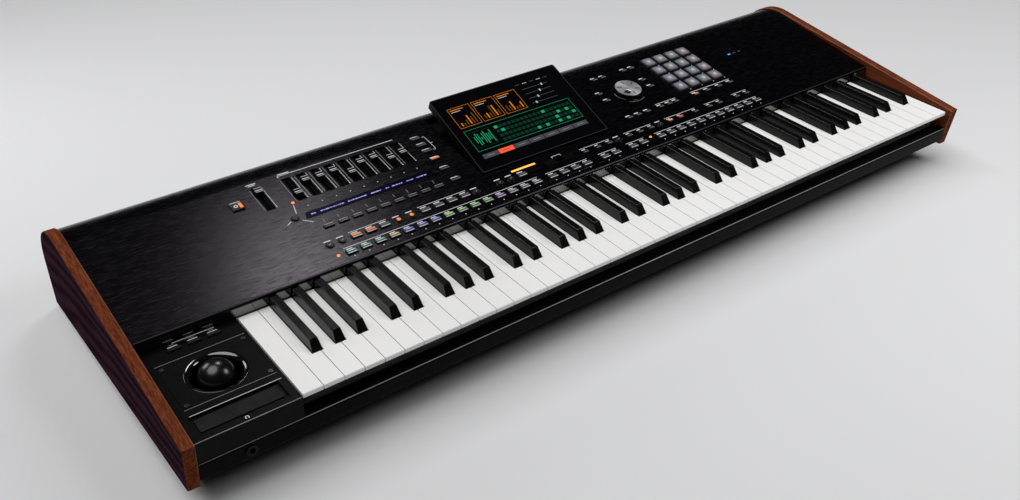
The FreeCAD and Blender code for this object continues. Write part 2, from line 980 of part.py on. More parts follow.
def key_pivot_rod():
    x0, x1 = frame_span()
    return rod(pivot_radius, V(x0, pivot_y, pivot_z), V(1, 0, 0), x1 - x0)


def key_felts():
    strips = []
    for back in (white_felt_at, black_felt_at):
        y = key_front + back
        top = felt_top(back)
        half = felt_width / 2
        strips.append(box(key_left, key_right, y - half, y + half, top - felt_height, top))
    return group(strips)


def contact_board():
    """Contact board with the rubber strip that the keys press."""
    y = key_front + contact_at
    top = contact_top()
    board_top = top - dome_height
    board = box(key_left, key_right, y - contact_width / 2, y + contact_width / 2,
                board_top - contact_board_height, board_top)
    strip = box(key_left, key_right, y - dome_width / 2, y + dome_width / 2, board_top, top)
    return board.fuse(strip).removeSplitter()


# Control block and joystick

def plate_screw_places():
    places = []
    for a in (-1, 1):
        for b in (-1, 1):
            places.append((plate_x + a * plate_screw_x / 2, plate_y + b * plate_screw_y / 2))
    return places


def block_box():
    return left_inner, key_left - block_side_gap, key_front - block_setback, flange_y + block_tuck


def tray_middle():
    x0, x1, y0, y1 = block_box()
    return (x0 + x1) / 2, key_front - block_setback + tray_from_front


def block_edges(shape, right, front):
    """Front and right edges of the block's top, and the upright edge between them."""
    found = []
    for edge in shape.Edges:
        ends = [v.Point for v in edge.Vertexes]
        at_top = all(abs(p.z - key_top_height) < tolerance for p in ends)
        at_front = all(abs(p.y - front) < tolerance for p in ends)
        at_right = all(abs(p.x - right) < tolerance for p in ends)
        if at_top + at_front + at_right > 1:
            found.append(edge)
    return found


def control_block():
    """Hollow block left of the keys with a seat for the plate, a tray and three switch windows."""
    x0, x1, y0, y1 = block_box()
    low = rail_top_z + seam
    outer = box(x0, x1, y0, y1, low, key_top_height)
    outer = outer.makeFillet(min(block_edge, block_wall / 2), block_edges(outer, x1, y0))
    inner = box(x0 + block_wall, x1 - block_wall, y0 + block_wall, y1 - block_wall,
                low - over, key_top_height - block_wall - tray_depth)
    posts = []
    for x in (x0 + pan_sheet + seam, frame_span()[0] - seam - block_post):
        posts.append(box(x, x + block_post, y1 - block_post, y1, pan_top, key_top_height - block_wall))
    body = outer.cut(inner).fuse(posts)
    cuts = [box(plate_x - plate_width / 2 - seam, plate_x + plate_width / 2 + seam,
                plate_y - plate_length / 2 - seam, plate_y + plate_length / 2 + seam,
                key_top_height - plate_thickness, key_top_height + over)]
    cup_radius = dish_rim_radius + cup_wall + seam
    cuts.append(rod(cup_radius, V(plate_x, plate_y, low - over), V(0, 0, 1), key_top_height))
    tray_x, tray_y = tray_middle()
    cuts.append(box(tray_x - tray_width / 2, tray_x + tray_width / 2,
                    tray_y - tray_length / 2, tray_y + tray_length / 2,
                    key_top_height - tray_depth, key_top_height + over))
    y = key_front - block_setback + bar_switch_from_front
    for x in block_switch_places():
        w = bar_switch_width / 2 + button_gap
        l = bar_switch_length / 2 + button_gap
        cuts.append(box(x - w, x + w, y - l, y + l, low, key_top_height + over))
    for x, y in plate_screw_places():
        cuts.append(rod(hole_radius, V(x, y, key_top_height + over), V(0, 0, -1), screw_length + 2 * over))
    return body.cut(cuts).removeSplitter()


def block_switches():
    y = key_front - block_setback + bar_switch_from_front
    found = []
    for x in block_switch_places():
        high = key_top_height + button_lift
        body = box(x - bar_switch_width / 2, x + bar_switch_width / 2, y - bar_switch_length / 2,
                   y + bar_switch_length / 2, key_top_height - button_body, high)
        found.append(body.makeChamfer(button_edge, top_edges(body, high)))
    return group(found)


def joystick_plate():
    """Screwed plate with the dish and the cup that carries the gimbal."""
    top = key_top_height
    plate = box(plate_x - plate_width / 2, plate_x + plate_width / 2, plate_y - plate_length / 2,
                plate_y + plate_length / 2, top - plate_thickness, top)
    inner_rim = dish_rim_radius
    profile = [
        (inner_rim, top),
        (inner_rim + cup_wall, top),
        (inner_rim + cup_wall, top - plate_thickness),
        (dish_radius + cup_wall, top - dish_slope_depth),
        (dish_radius + cup_wall, top - cup_depth),
        (dish_radius, top - cup_depth),
        (dish_radius, top - dish_slope_depth),
    ]
    points = [V(plate_x + r, plate_y, z) for r, z in profile]
    face = Part.Face(Part.makePolygon(points + points[:1]))
    cup = face.revolve(V(plate_x, plate_y, 0), V(0, 0, 1), 360)
    below = V(plate_x, plate_y, top - plate_thickness - over)
    hole = rod(inner_rim, below, V(0, 0, 1), plate_thickness + 2 * over)
    reach = dish_radius + cup_wall + over
    first = V(plate_x - reach, plate_y, top - gimbal_drop)
    pins = rod(gimbal_pin_radius + gimbal_pin_clearance, first, V(1, 0, 0), 2 * reach)
    holes = [rod(hole_radius, V(x, y, top + over), V(0, 0, -1), plate_thickness + 2 * over)
             for x, y in plate_screw_places()]
    return plate.cut(hole).fuse(cup).cut([pins] + holes).removeSplitter()


def joystick_gimbal():
    """Ring that tilts on two pins in the cup and carries the stick's pins."""
    z = key_top_height - gimbal_drop
    base = V(plate_x, plate_y, z - gimbal_height / 2)
    ring = rod(gimbal_outer, base, V(0, 0, 1), gimbal_height)
    ring = ring.cut(rod(gimbal_inner, base - V(0, 0, over), V(0, 0, 1), gimbal_height + 2 * over))
    reach = dish_radius + cup_wall - seam
    mid_ring = (gimbal_outer + gimbal_inner) / 2
    pins = [rod(gimbal_pin_radius, V(plate_x + a * mid_ring, plate_y, z), V(a, 0, 0), reach - mid_ring)
            for a in (-1, 1)]
    first = V(plate_x, plate_y - reach, z)
    bore = rod(gimbal_pin_radius + gimbal_pin_clearance, first, V(0, 1, 0), 2 * reach)
    return ring.fuse(pins).cut(bore).removeSplitter()


def joystick():
    """Ball cap cut flat below, its stem and the cross pins."""
    middle = V(plate_x, plate_y, key_top_height - ball_drop)
    pin_z = key_top_height - gimbal_drop
    ball = Part.makeSphere(ball_radius, middle)
    low = middle.z - ball_cut
    below = box(plate_x - ball_radius, plate_x + ball_radius, plate_y - ball_radius, plate_y + ball_radius,
                middle.z - ball_radius - over, low)
    stem_low = pin_z - stick_tail
    stem = rod(stick_radius, V(plate_x, plate_y, stem_low), V(0, 0, 1), middle.z - stem_low)
    reach = gimbal_outer - seam
    pins = rod(gimbal_pin_radius, V(plate_x, plate_y - reach, pin_z), V(0, 1, 0), 2 * reach)
    return ball.cut(below).fuse([stem, pins]).removeSplitter()


def touch_strip():
    x, y = tray_middle()
    w = tray_width / 2 - strip_margin
    l = tray_length / 2 - strip_margin
    z = key_top_height - tray_depth
    return box(x - w, x + w, y - l, y + l, z, z + strip_thickness)


# Panel pieces

def panel_board():
    """Board under the panel with one small switch under each button and pad."""
    lows = -board_depth - board_thickness
    places = all_button_places()
    x0 = min(p[0] for p in places) - board_margin
    x1 = max(p[0] for p in places) + board_margin
    s0 = front_row_up - switch_size
    s1 = fader_up + fader_body_length / 2
    board = on_panel(box(x0, x1, s0, s1, lows, -board_depth))
    well = on_panel(display_well(tray_wall + seam, lows - over, board_lift + over))
    tops = -button_body - button_travel - button_gap
    centres = [(x, up) for x, up, w, l in places] + all_round_places()
    switches = [panel_box(x, up, switch_size, bar_length, board_lift, tops) for x, up in centres]
    low_pad = -pad_body - pad_travel - button_gap
    switches += [panel_box(x, up, switch_size, switch_size, board_lift, low_pad) for x, up in pad_places()]
    return board.cut(well).fuse(switches).removeSplitter()


def fader_bodies():
    found = []
    length = fader_travel + stem_length + 2 * groove_gap
    width = stem_width + 2 * groove_gap
    for x in fader_xs():
        body = panel_box(x, fader_up, fader_body_width, fader_body_length, board_lift, -sheet)
        groove = panel_box(x, fader_up, width, length, -sheet - stem_depth - groove_gap, over)
        found.append(body.cut(groove))
    return group(found)


def fader_rest(share):
    return fader_up + (share - 0.5) * fader_travel


def fader_cap(x, share):
    """Cap with a sunk grip, on a flat stem that runs in the fader's groove."""
    up = fader_rest(share)
    low, high = cap_lift, cap_lift + cap_height
    w, l = cap_width / 2, cap_length / 2
    crest = l * cap_top_share
    dip = cap_height * (1 - cap_top_share)
    outline = [(-l, low), (l, low), (crest, high), (0, high - dip / 2), (-crest, high)]
    points = [V(x - w, up + s, z) for s, z in outline]
    body = Part.Face(Part.makePolygon(points + points[:1])).extrude(V(cap_width, 0, 0))
    stem = box(x - stem_width / 2, x + stem_width / 2, up - stem_length / 2, up + stem_length / 2,
               -sheet - stem_depth, low)
    return on_panel(body.fuse(stem).removeSplitter())


def fader_nodes():
    xs = fader_xs()
    nodes = {"fader_cap_single": fader_cap(xs[0], single_rest_share)}
    for i, share in enumerate(fader_rest_shares):
        nodes["fader_cap_%d" % (i + 1)] = fader_cap(xs[i + 1], share)
    return nodes


def strip_display():
    return strip_outline(0, strip_display_lift - strip_display_thickness, strip_display_lift)


def display_axis():
    """Hinge axis of the display, as a place up the panel and a height over it."""
    return display_up + display_pin_in, -sheet - display_pin_radius - display_pin_cover


def tilt_display(shape):
    """Raise a piece of the display from flat to its rest tilt."""
    up, lift = display_axis()
    shape.rotate(V(0, up, lift), V(1, 0, 0), display_rest_deg)
    return on_panel(shape)


def display_plate(shrink, low, high, corner):
    x0 = display_left + shrink
    x1 = display_left + display_width - shrink
    s0 = display_up + shrink
    s1 = display_up + display_length - shrink
    points = [V(x0, s0, low), V(x1, s0, low), V(x1, s1, low), V(x0, s1, low)]
    return rounded_face(points, [corner] * len(points)).extrude(V(0, 0, high - low))


def display_housing():
    """Flat tray that holds the glass, closed below, with a hinge pin at each side."""
    high = display_proud
    low = high - display_thickness
    body = display_plate(0, low, high, display_corner)
    seat = display_plate(glass_margin, high - glass_thickness, high + over, display_corner - glass_margin)
    room = display_plate(display_rim, low + display_wall, high, display_wall)
    up, lift = display_axis()
    reach = display_gap + tray_wall - seam
    pins = []
    for x, side in ((display_left, -1), (display_left + display_width, 1)):
        start = V(x - side * display_wall, up, lift)
        pins.append(rod(display_pin_radius, start, V(side, 0, 0), display_wall + reach))
    return tilt_display(body.cut([seat, room]).fuse(pins).removeSplitter())


def display_glass():
    high = display_proud
    plate = display_plate(glass_margin, high - glass_thickness, high, display_corner - glass_margin)
    return tilt_display(plate)


def display_tray():
    """Open tray under the panel with the bores of the display's hinge pins."""
    low = display_proud - display_thickness - tray_room
    outer = display_well(tray_wall, low - tray_floor, -sheet)
    inner = display_well(0, low, over)
    up, lift = display_axis()
    start = display_left - display_gap - tray_wall - over
    reach = display_width + 2 * (display_gap + tray_wall + over)
    bore = rod(display_pin_radius + display_pin_clearance, V(start, up, lift), V(1, 0, 0), reach)
    return on_panel(outer.cut([inner, bore])).common(under_panel())


def value_dial():
    """Turned wheel with a crowned top, a bevelled edge and an off-centre finger dimple."""
    low, high = dial_lift, dial_lift + dial_height
    profile = [
        (shaft_radius + shaft_clearance, low),
        (dial_radius, low),
        (dial_radius, high - dial_crown - dial_edge),
        (dial_radius - dial_edge, high - dial_crown),
        (0, high),
        (0, high - dial_height / 2),
        (shaft_radius + shaft_clearance, high - dial_height / 2),
    ]
    points = [V(dial_x + r, dial_up, z) for r, z in profile]
    body = Part.Face(Part.makePolygon(points + points[:1])).revolve(V(dial_x, dial_up, 0), V(0, 0, 1), 360)
    ball = (dimple_radius ** 2 + dimple_depth ** 2) / (2 * dimple_depth)
    height = high - dial_crown * dimple_share
    bearing = math.radians(dimple_bearing_deg)
    reach = dial_radius * dimple_share
    place = V(dial_x + reach * math.cos(bearing), dial_up + reach * math.sin(bearing),
              height + ball - dimple_depth)
    return on_panel(body.cut(Part.makeSphere(ball, place)))


def dial_encoder():
    """Encoder body under the panel and its shaft."""
    body = box(dial_x - encoder_size / 2, dial_x + encoder_size / 2, dial_up - encoder_size / 2,
               dial_up + encoder_size / 2, board_lift, -sheet)
    length = sheet + dial_lift + dial_height / 2 - seam
    shaft = rod(shaft_radius, V(dial_x, dial_up, -sheet), V(0, 0, 1), length)
    return on_panel(body.fuse(shaft).removeSplitter())


# Sockets

def phones_x():
    return key_left - phones_from_key


def phones_z():
    return key_top_height - phones_drop


def rear_jack_xs():
    return [rear_jack_start + i * jack_pitch for i in range(rear_jack_count)]


def din_xs():
    return [din_start + i * din_pitch for i in range(din_count)]


def usb_xs():
    return [usb_start + i * usb_pitch for i in range(usb_count)]


def jack(face, direction):
    """Jack bush with its nut; the direction points out of its mouth."""
    start = face + direction * (-jack_length)
    bush = rod(jack_bush_radius, start, direction, jack_length + jack_nut_height)
    nut = rod(jack_nut_radius, face, direction, jack_nut_height)
    behind = face - direction * (sheet + jack_nut_height)
    shoulder = rod(jack_nut_radius, behind, direction, jack_nut_height)
    bore = rod(jack_radius, start - direction * over, direction, jack_length + jack_nut_height + 2 * over)
    return bush.fuse([nut, shoulder]).cut(bore).removeSplitter()


def jack_sockets():
    found = [jack(V(x, panel_rear_y, rear_socket_height), V(0, 1, 0)) for x in rear_jack_xs()]
    found.append(jack(V(phones_x(), rail_y, phones_z()), V(0, -1, 0)))
    return group(found)


def usb_shell(x):
    """Rear USB socket: a box open at the back."""
    w, h = usb_width / 2, usb_height / 2
    y1 = panel_rear_y
    z = rear_socket_height
    outer = box(x - w - usb_wall, x + w + usb_wall, y1 - usb_depth - usb_wall, y1,
                z - h - usb_wall, z + h + usb_wall)
    return outer.cut(box(x - w, x + w, y1 - usb_depth, y1 + over, z - h, z + h))


def front_usb():
    """Flush plate with a USB slot below the display."""
    x = key_left + front_usb_from_key
    plate = box(x - front_usb_plate_width / 2, x + front_usb_plate_width / 2,
                front_usb_up - front_usb_plate_length / 2, front_usb_up + front_usb_plate_length / 2,
                board_lift, front_usb_lift)
    half = front_usb_slot_length / 2
    slot = box(x - usb_width / 2, x + usb_width / 2, front_usb_up - half, front_usb_up + half,
               board_lift + usb_wall, front_usb_lift + over)
    return on_panel(plate.cut(slot))


def din_socket(x):
    start = V(x, panel_rear_y - din_depth - usb_wall, rear_socket_height)
    outer = rod(din_outer, start, V(0, 1, 0), din_depth + usb_wall)
    return outer.cut(rod(din_radius, start + V(0, usb_wall, 0), V(0, 1, 0), din_depth + over))


def data_sockets():
    return group([usb_shell(x) for x in usb_xs()] + [din_socket(x) for x in din_xs()] + [front_usb()])


def mains_inlet():
    """Inlet housing with a flange on the rear panel and an open mouth."""
    x = inlet_at
    z = rear_socket_height
    y1 = panel_rear_y
    flange_y1 = y1 + inlet_flange_height
    body = box(x - inlet_width / 2, x + inlet_width / 2, y1 - inlet_depth - usb_wall, flange_y1,
               z - inlet_height / 2, z + inlet_height / 2)
    w, h = inlet_width / 2 + inlet_flange, inlet_height / 2 + inlet_flange
    flange = box(x - w, x + w, y1, flange_y1, z - h, z + h)
    mouth = box(x - inlet_opening_width / 2, x + inlet_opening_width / 2,
                y1 - inlet_depth, flange_y1 + over,
                z - inlet_opening_height / 2, z + inlet_opening_height / 2)
    lugs = []
    for side in (-1, 1):
        edge = rocker_at + side * (rocker_width / 2 + rocker_gap)
        x0, x1 = sorted((edge, edge + side * rocker_lug))
        lugs.append(box(x0, x1, y1 - sheet - rocker_body, y1 - sheet, z - rocker_lug, z + rocker_lug))
    span = rocker_width + 2 * (rocker_gap + rocker_lug)
    axle = rod(rocker_axle_radius + rocker_axle_clearance, V(rocker_at - span / 2 - over, rocker_y(), z),
               V(1, 0, 0), span + 2 * over)
    lugs = [lug.cut(axle) for lug in lugs]
    return group([body.fuse(flange).cut(mouth).removeSplitter()] + lugs)


def rocker_y():
    return panel_rear_y - sheet - rocker_body / 2


def power_rocker():
    """Rocker with a slightly dished face, on an axle between two lugs."""
    y1 = panel_rear_y + rocker_proud
    z = rear_socket_height
    h = rocker_height / 2 - rocker_proud
    dip = math.tan(math.radians(rocker_tilt_deg)) * h
    outline = (
        (rocker_y() - rocker_axle_radius - rocker_gap, z - h / 2),
        (rocker_y() - rocker_axle_radius - rocker_gap, z + h / 2),
        (y1, z + h),
        (y1 - dip, z),
        (y1, z - h),
    )
    body = along_x(outline, rocker_at - rocker_width / 2, rocker_at + rocker_width / 2)
    reach = rocker_width / 2 + rocker_gap + rocker_axle_reach
    axle = rod(rocker_axle_radius, V(rocker_at - reach, rocker_y(), z), V(1, 0, 0), 2 * reach)
    switch = body.fuse(axle).removeSplitter()
    switch.rotate(V(rocker_at, rocker_y(), z), V(1, 0, 0), -rocker_tilt_deg)
    return switch


# Inner boards

def inner_y(length):
    """Middle of a board that stands behind the key frame."""
    return key_front + frame_rear + inner_gap + length / 2


def main_board():
    """Main board on its stand-offs, with a few large chips."""
    y = inner_y(main_board_length)
    z = pan_top + stand_off_height
    w, l = main_board_width / 2, main_board_length / 2
    board = box(main_board_at - w, main_board_at + w, y - l, y + l, z, z + board_thickness)
    chips = []
    half = chip_size / 2
    for share in chip_shares:
        x = main_board_at + share * w
        top = z + board_thickness
        chips.append(box(x - half, x + half, y - half, y + half, top, top + chip_height))
    return board.fuse(chips).removeSplitter()


def power_supply():
    y = inner_y(supply_length)
    z = pan_top + stand_off_height
    w, l = supply_width / 2, supply_length / 2
    return box(supply_at - w, supply_at + w, y - l, y + l, z, z + supply_height)


# Every node

def all_nodes():
    nodes = {
        "bottom_case": bottom_case(),
        "top_panel": top_panel(),
        "rear_panel": rear_panel(),
        "front_rail": front_rail(),
        "side_panel_left": side_panel(-case_width / 2, left_inner),
        "side_panel_right": side_panel(right_inner, case_width / 2),
        "control_block": control_block(),
        "joystick_plate": joystick_plate(),
        "touch_strip": touch_strip(),
        "block_switches": block_switches(),
        "joystick_gimbal": joystick_gimbal(),
        "joystick": joystick(),
        "key_frame": key_frame(),
        "key_pivot_rod": key_pivot_rod(),
        "key_felts": key_felts(),
        "contact_board": contact_board(),
        "main_board": main_board(),
        "power_supply": power_supply(),
        "panel_board": panel_board(),
        "fader_bodies": fader_bodies(),
        "strip_display": strip_display(),
        "display_tray": display_tray(),
        "display_housing": display_housing(),
        "display_glass": display_glass(),
        "value_dial": value_dial(),
        "dial_encoder": dial_encoder(),
        "drum_pads": pads(),
        "front_row_buttons": button_bank(front_row_places()),
        "second_row_buttons": button_bank(second_row_places(), second_round_places()),
        "mixer_buttons": mixer_buttons(),
        "dial_buttons": button_bank(dial_places()),
        "jack_sockets": jack_sockets(),
        "data_sockets": data_sockets(),
        "mains_inlet": mains_inlet(),
        "power_rocker": power_rocker(),
        "rubber_feet": rubber_feet(),
        "screws": screws(),
    }
    nodes.update(fader_nodes())
    nodes.update(key_nodes())
    return nodes


os.makedirs("parts", exist_ok=True)
for name, shape in all_nodes().items():
    shape.exportStep(os.path.join("parts", name + ".step"))
    print(name, len(shape.Solids), shape.isValid(), round(shape.Volume))
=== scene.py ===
import json
import math

import bpy
import numpy as np
from mathutils import Matrix, Vector


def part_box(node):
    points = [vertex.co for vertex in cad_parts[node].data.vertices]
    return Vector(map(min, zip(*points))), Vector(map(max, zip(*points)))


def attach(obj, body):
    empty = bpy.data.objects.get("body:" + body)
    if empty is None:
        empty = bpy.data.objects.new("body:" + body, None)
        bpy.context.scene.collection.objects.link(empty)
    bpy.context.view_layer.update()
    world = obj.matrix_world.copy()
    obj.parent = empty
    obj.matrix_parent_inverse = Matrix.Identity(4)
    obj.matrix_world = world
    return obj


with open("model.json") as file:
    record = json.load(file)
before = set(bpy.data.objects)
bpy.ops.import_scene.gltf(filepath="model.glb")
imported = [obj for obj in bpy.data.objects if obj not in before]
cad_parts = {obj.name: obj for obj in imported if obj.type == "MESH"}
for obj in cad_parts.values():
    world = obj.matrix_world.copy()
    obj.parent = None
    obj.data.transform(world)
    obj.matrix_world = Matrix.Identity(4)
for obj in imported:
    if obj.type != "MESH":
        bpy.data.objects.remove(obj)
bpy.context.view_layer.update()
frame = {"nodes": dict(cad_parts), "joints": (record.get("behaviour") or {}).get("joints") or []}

# Small sizes below are in millimetres
mm = 0.001

# Sizes of the controls that prints, lenses and lamps sit on
key_side_gap = 0.5
control_start = 150.3
control_pitch = 19.15
front_row_up = 15.4
second_row_up = 36.8
mixer_row_up = 67.5
dial_row_up = 69.5
dial_top_up = 167.0
button_width = 13.5
button_lift = 2.2
round_radius = 4.3
front_row_start_shares = (0.0, 15.35, 20.0, 22.6, 25.3)
front_row_counts = (15, 4, 2, 2, 11)
second_row_shares = (0.97, 1.98, 2.96, 5.93, 6.95, 7.95, 8.95, 13.58)
second_small_shares = (19.1, 20.25, 21.3, 23.2, 24.25, 25.3, 27.2, 28.25, 29.8, 31.3, 32.35, 34.25, 35.3)
second_round_shares = (-0.85, 0.0, 3.95, 4.9, 9.85, 11.75, 12.65, 22.15, 26.2)
mixer_row_count = 9
side_column_share = 9.4
side_column_up = 117.5
side_column_length = 95.0
side_column_up_shares = (0.5, 0.34, 0.195, 0.0, -0.235, -0.5)
dial_row_shares = (-2.11, -1.26, -0.36, 0.99, 1.84, 2.54)
pad_row_shares = (-1.435, -0.185, 1.065, 2.265)
dial_top_shares = (-1.26, -0.46, 1.69, 2.49)
dial_side_reach = 42.0
dial_side_up = 116.4
dial_side_step = 18.0
square_button = (72.8, 148.0)
scene_knob = (121.8, 97.0)

# Lenses, and painted highlights along the caps' lips: width, length, and shift up the panel from the cap's
# middle
wide_lens = (button_width - 1.8, 3.0, 1.1)
wide_lip_highlight = (button_width - 1.6, 1.3, -2.3)
small_lens = (7.4, 2.0, 0.7)
small_lip_highlight = (7.4, 0.7, -1.4)
bar_lens = (11.6, 2.2, 0.3)
bar_lip_highlight = (12.0, 0.5, 1.75)
bar_foot_highlight = (12.0, 0.5, -1.75)
round_mark = (4.0, 0.7, 0.0)
round_mark_turn = 0.6
round_lens_radius = 3.7
lens_letter = (7.0, 0.8, 1.2)
square_lens = (3.8, 9.6, -0.6)
square_lens_across = 4.4
square_lip_highlight = (12.6, 1.0, 6.3)
square_ring_place = (-1.6, -0.6)
square_ring_radii = (1.5, 2.4)

# Printed marks: heights up the panel, and sizes
front_dot_up = 8.3
front_caption_up = 21.6
front_title_up = 24.6
small_title_up = 44.8
wide_title_up = 46.0
dial_title_up = 77.5
mixer_tick_up = 79.0
fader_dot_up = 112.0
mixer_title_up = 178.0
mixer_title_drop = 3.5
mixer_caption_up = 180.4
socket_bracket = (474.5, 50.0)
bracket_reach = 7.0
bracket_drop = 3.4
fader_line_out = 7.6
fader_line_spare = 8.0
title_line = 0.7
frame_line = 0.9
knob_line = 0.8
bracket_line = 0.6
spot_radius = 0.75

# Lamps on the panel
round_lamps = ((133.0, 124.3), (134.0, 17.0), (619.3, 21.3))
long_lamp = (421.0, 49.0, 38.0, 3.0)
blue_lamp = (882.0, 128.7, 5.0, 2.2)
unlit_lamps = ((893.0, 128.7, 5.0, 2.2), (904.0, 128.7, 5.0, 2.2))

dial_u = 664.6
dial_up = 121.7
dial_lift = 1.2
dial_height = 6.8
dial_crown = 1.2
dial_edge = 0.8
dial_radius = 20.2
dial_bright = 19.2
dimple_share = 0.54
dimple_bearing = 226.0
dimple_radius = 4.6
dimple_depth = 1.2

pad_count = 4
pad_pitch = 23.6
pad_size = 19.2
pad_middle = (781.0, 130.5)
pad_lift = 3.4
pad_edge = 1.2
pad_crown = 0.3
pad_fall = 0.5
pad_square = 9

fader_up = 147.6
fader_travel = 34.0
fader_first_share = -0.2
fader_single_step = 40.4
fader_count = 9
cap_lift = 0.3
cap_height = 5.0
cap_length = 11.5
cap_top_share = 0.62
cap_bar = 9.2

display_width = 210.0
display_length = 134.0
display_hinge_in = 6.0
display_hinge_drop = 7.2

plate_middle = (-53.5, 81.0)
plate_screw_reach = (44.0, 31.7)
screw_head = 1.2
dish_rim = 30.0
dish_depth = 33.0
lip_length = 6.2
ball_radius = 20.0
ball_drop = 8.0
ball_cut = 6.0
block_edge = 1.2
rail_bend = 3.2
panel_bend = 3.2
block_line_up = 34.2
plate_line_ups = (44.6, 120.9)
switch_pitch = 21.7
switch_caption_up = 143.2
switch_mark_up = 146.0
block_title_up = 148.6
headphone_mark = (-57.0, 2.4)
flange_heights = (89.8, 99.8)

# Sockets on the rear panel: places across from the left, seen from the front, and their height
rear_jacks = (250.0, 274.0, 298.0, 322.0, 346.0, 370.0)
din_sockets = (40.0, 66.0)
usb_sockets = (-30.0, -6.0)
inlet_at = -500.0
rocker_at = -450.0
socket_height = 46.0
jack_nut_height = 1.8
rear_screws = (-547.0, -328.2, -109.4, 109.4, 328.2, 547.0)
rear_screw_height = 25.0
rear_line_height = 61.0
rear_mark_height = 32.0
rocker_mark_across = -rocker_at - 10.6
rocker_mark_out = 5.0
base_screws_across = (-434.0, -188.75, 56.5, 301.75, 547.0)
base_screws_back = (-128.0, -2.0)

# Thicknesses of prints, lenses and skins
sunk = 0.08
print_height = 0.06
lens_height = 0.25
lens_edge = 0.15
lip_height = 0.1
bar_lip_height = 0.12
lip_edge = 0.05
ink_edge = 0.02
skin = 0.06

# Colours in linear light
plain = (1.0, 1.0, 1.0)
# Print white, also the painted highlight on the square cap's upper lip
white_print_and_lip_highlight = (0.72, 0.72, 0.72)
block_print = (0.66, 0.66, 0.67)
# Dim print, also the dimmer painted highlight on the lower lips of small caps and bars
dim_print_and_lip_highlight = (0.26, 0.26, 0.27)
arc_print = (0.07, 0.07, 0.075)
amber = (1.0, 0.36, 0.06)
orange = (0.85, 0.22, 0.05)
red = (0.9, 0.09, 0.04)
cyan = (0.02, 0.20, 0.23)
teal = (0.02, 0.19, 0.15)
olive = (0.34, 0.26, 0.05)
blue = (0.05, 0.07, 0.42)
lime = (0.16, 0.40, 0.04)
green = (0.05, 0.31, 0.05)
purple = (0.16, 0.05, 0.30)
violet_grey = (0.13, 0.12, 0.16)
slate = (0.07, 0.07, 0.08)
dark_lens = (0.03, 0.03, 0.034)
# Painted highlight along the lips of wide caps and bars
lip_highlight_grey = (0.52, 0.52, 0.54)
lamp_red = (1.0, 0.2, 0.04)
lamp_blue = (0.02, 0.32, 0.75)
lit_wide = (0.62, 0.17, 0.05)
bar_black = (0.012, 0.012, 0.014)
near_black = (0.02, 0.02, 0.02)
screen_orange = (0.42, 0.13, 0.012)
dim_orange = (0.085, 0.03, 0.005)
screen_green = (0.010, 0.20, 0.09)
dim_green = (0.002, 0.019, 0.010)
screen_red = (0.62, 0.07, 0.03)
screen_white = (0.30, 0.30, 0.31)
screen_grey = (0.035, 0.037, 0.042)
tab_dark = (0.02, 0.01, 0.01)
tab_pale = (0.14, 0.14, 0.15)
pad_tones = np.array(((0.175, 0.17, 0.21), (0.19, 0.168, 0.185), (0.168, 0.176, 0.20), (0.19, 0.18, 0.21)))

joints = {joint["name"]: joint for joint in frame["joints"]}


# Flat faces, each an origin and three directions: across, up and out

along_x, along_y, along_z = np.eye(3)


def turned(vector, degrees):
    return np.array(Matrix.Rotation(math.radians(degrees), 3, "X") @ Vector(vector))


def panel_face():
    """Sloped top panel: its origin is on the front edge, above the left side of the lowest key."""
    up = np.array(joints["fader_1_slide"]["axis"])
    out = np.array(joints["dial_turn"]["axis"])
    middle = np.array(joints["dial_turn"]["pos_m"]) - dial_lift * mm * out
    run = (middle[1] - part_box("top_panel")[0].y) / up[1]
    origin = middle - run * up
    origin[0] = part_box("keys_e")[0].x - key_side_gap * mm
    return origin, along_x, up, out


def display_face():
    """Front of the display glass: its origin is the lower left corner of the slab."""
    joint = joints["display_tilt"]
    tilt = -joint["range_deg"][0]
    up = turned(panel[2], tilt)
    out = turned(panel[3], tilt)
    origin = np.array(joint["pos_m"]) - display_hinge_in * mm * up + display_hinge_drop * mm * out
    origin[0] -= display_width / 2 * mm
    return origin, along_x, up, out


def block_face():
    """Level top of the control block: its origin is at the front left corner of the lowest key."""
    low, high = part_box("keys_e")
    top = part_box("joystick_plate")[1].z
    return np.array((low.x - key_side_gap * mm, low.y, top)), along_x, along_y, along_z


panel = panel_face()
display = display_face()
block = block_face()
# Upright rear panel, seen from behind: across runs to the left end of the keyboard
rear = (np.array((0.0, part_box("rear_panel")[1].y, 0.0)), -along_x, along_z, along_y)
# Upright flange behind the keys, seen from the front
flange = (np.array((0.0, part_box("top_panel")[0].y, 0.0)), along_x, along_z, -along_y)
# Underside of the pan, seen from below: up runs to the front
base = (np.array((0.0, 0.0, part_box("bottom_case")[0].z)), along_x, -along_y, -along_z)
room = (np.zeros(3), along_x, along_y, along_z)


def on_face(face, points):
    """Points (u, v, height) in millimetres become the origin plus their shares of across, up and out."""
    origin, across, up, out = face
    points = np.asarray(points, float) * mm
    return origin + points[..., :1] * across + points[..., 1:2] * up + points[..., 2:3] * out


# Surfaces

def ring_faces(rings, around, count=1):
    """Quads join each ring to the next, and the first and last rings of every copy are closed."""
    index = np.arange(rings * around).reshape(rings, around)
    following = np.roll(index, -1, axis=1)
    quads = np.stack([index[:-1], following[:-1], following[1:], index[1:]], axis=-1).reshape(-1, 4)
    faces = []
    for copy in range(count):
        start = copy * rings * around
        faces += (quads + start).tolist()
        faces.append((index[0][::-1] + start).tolist())
        faces.append((index[-1] + start).tolist())
    return faces


def skins(face, points, tints=plain):
    """Closed skins from an array of (copy, ring, around, 3) points on a face. The tint is one colour,
    one for each copy, or one for each point."""
    count, rings, around = points.shape[:3]
    tint = np.asarray(tints, float)
    if tint.ndim == 2:
        tint = tint[:, None, None, :]
    return {
        "points": on_face(face, points).reshape(-1, 3),
        "faces": ring_faces(rings, around, count),
        "tint": np.broadcast_to(tint, points.shape).reshape(-1, 3),
    }


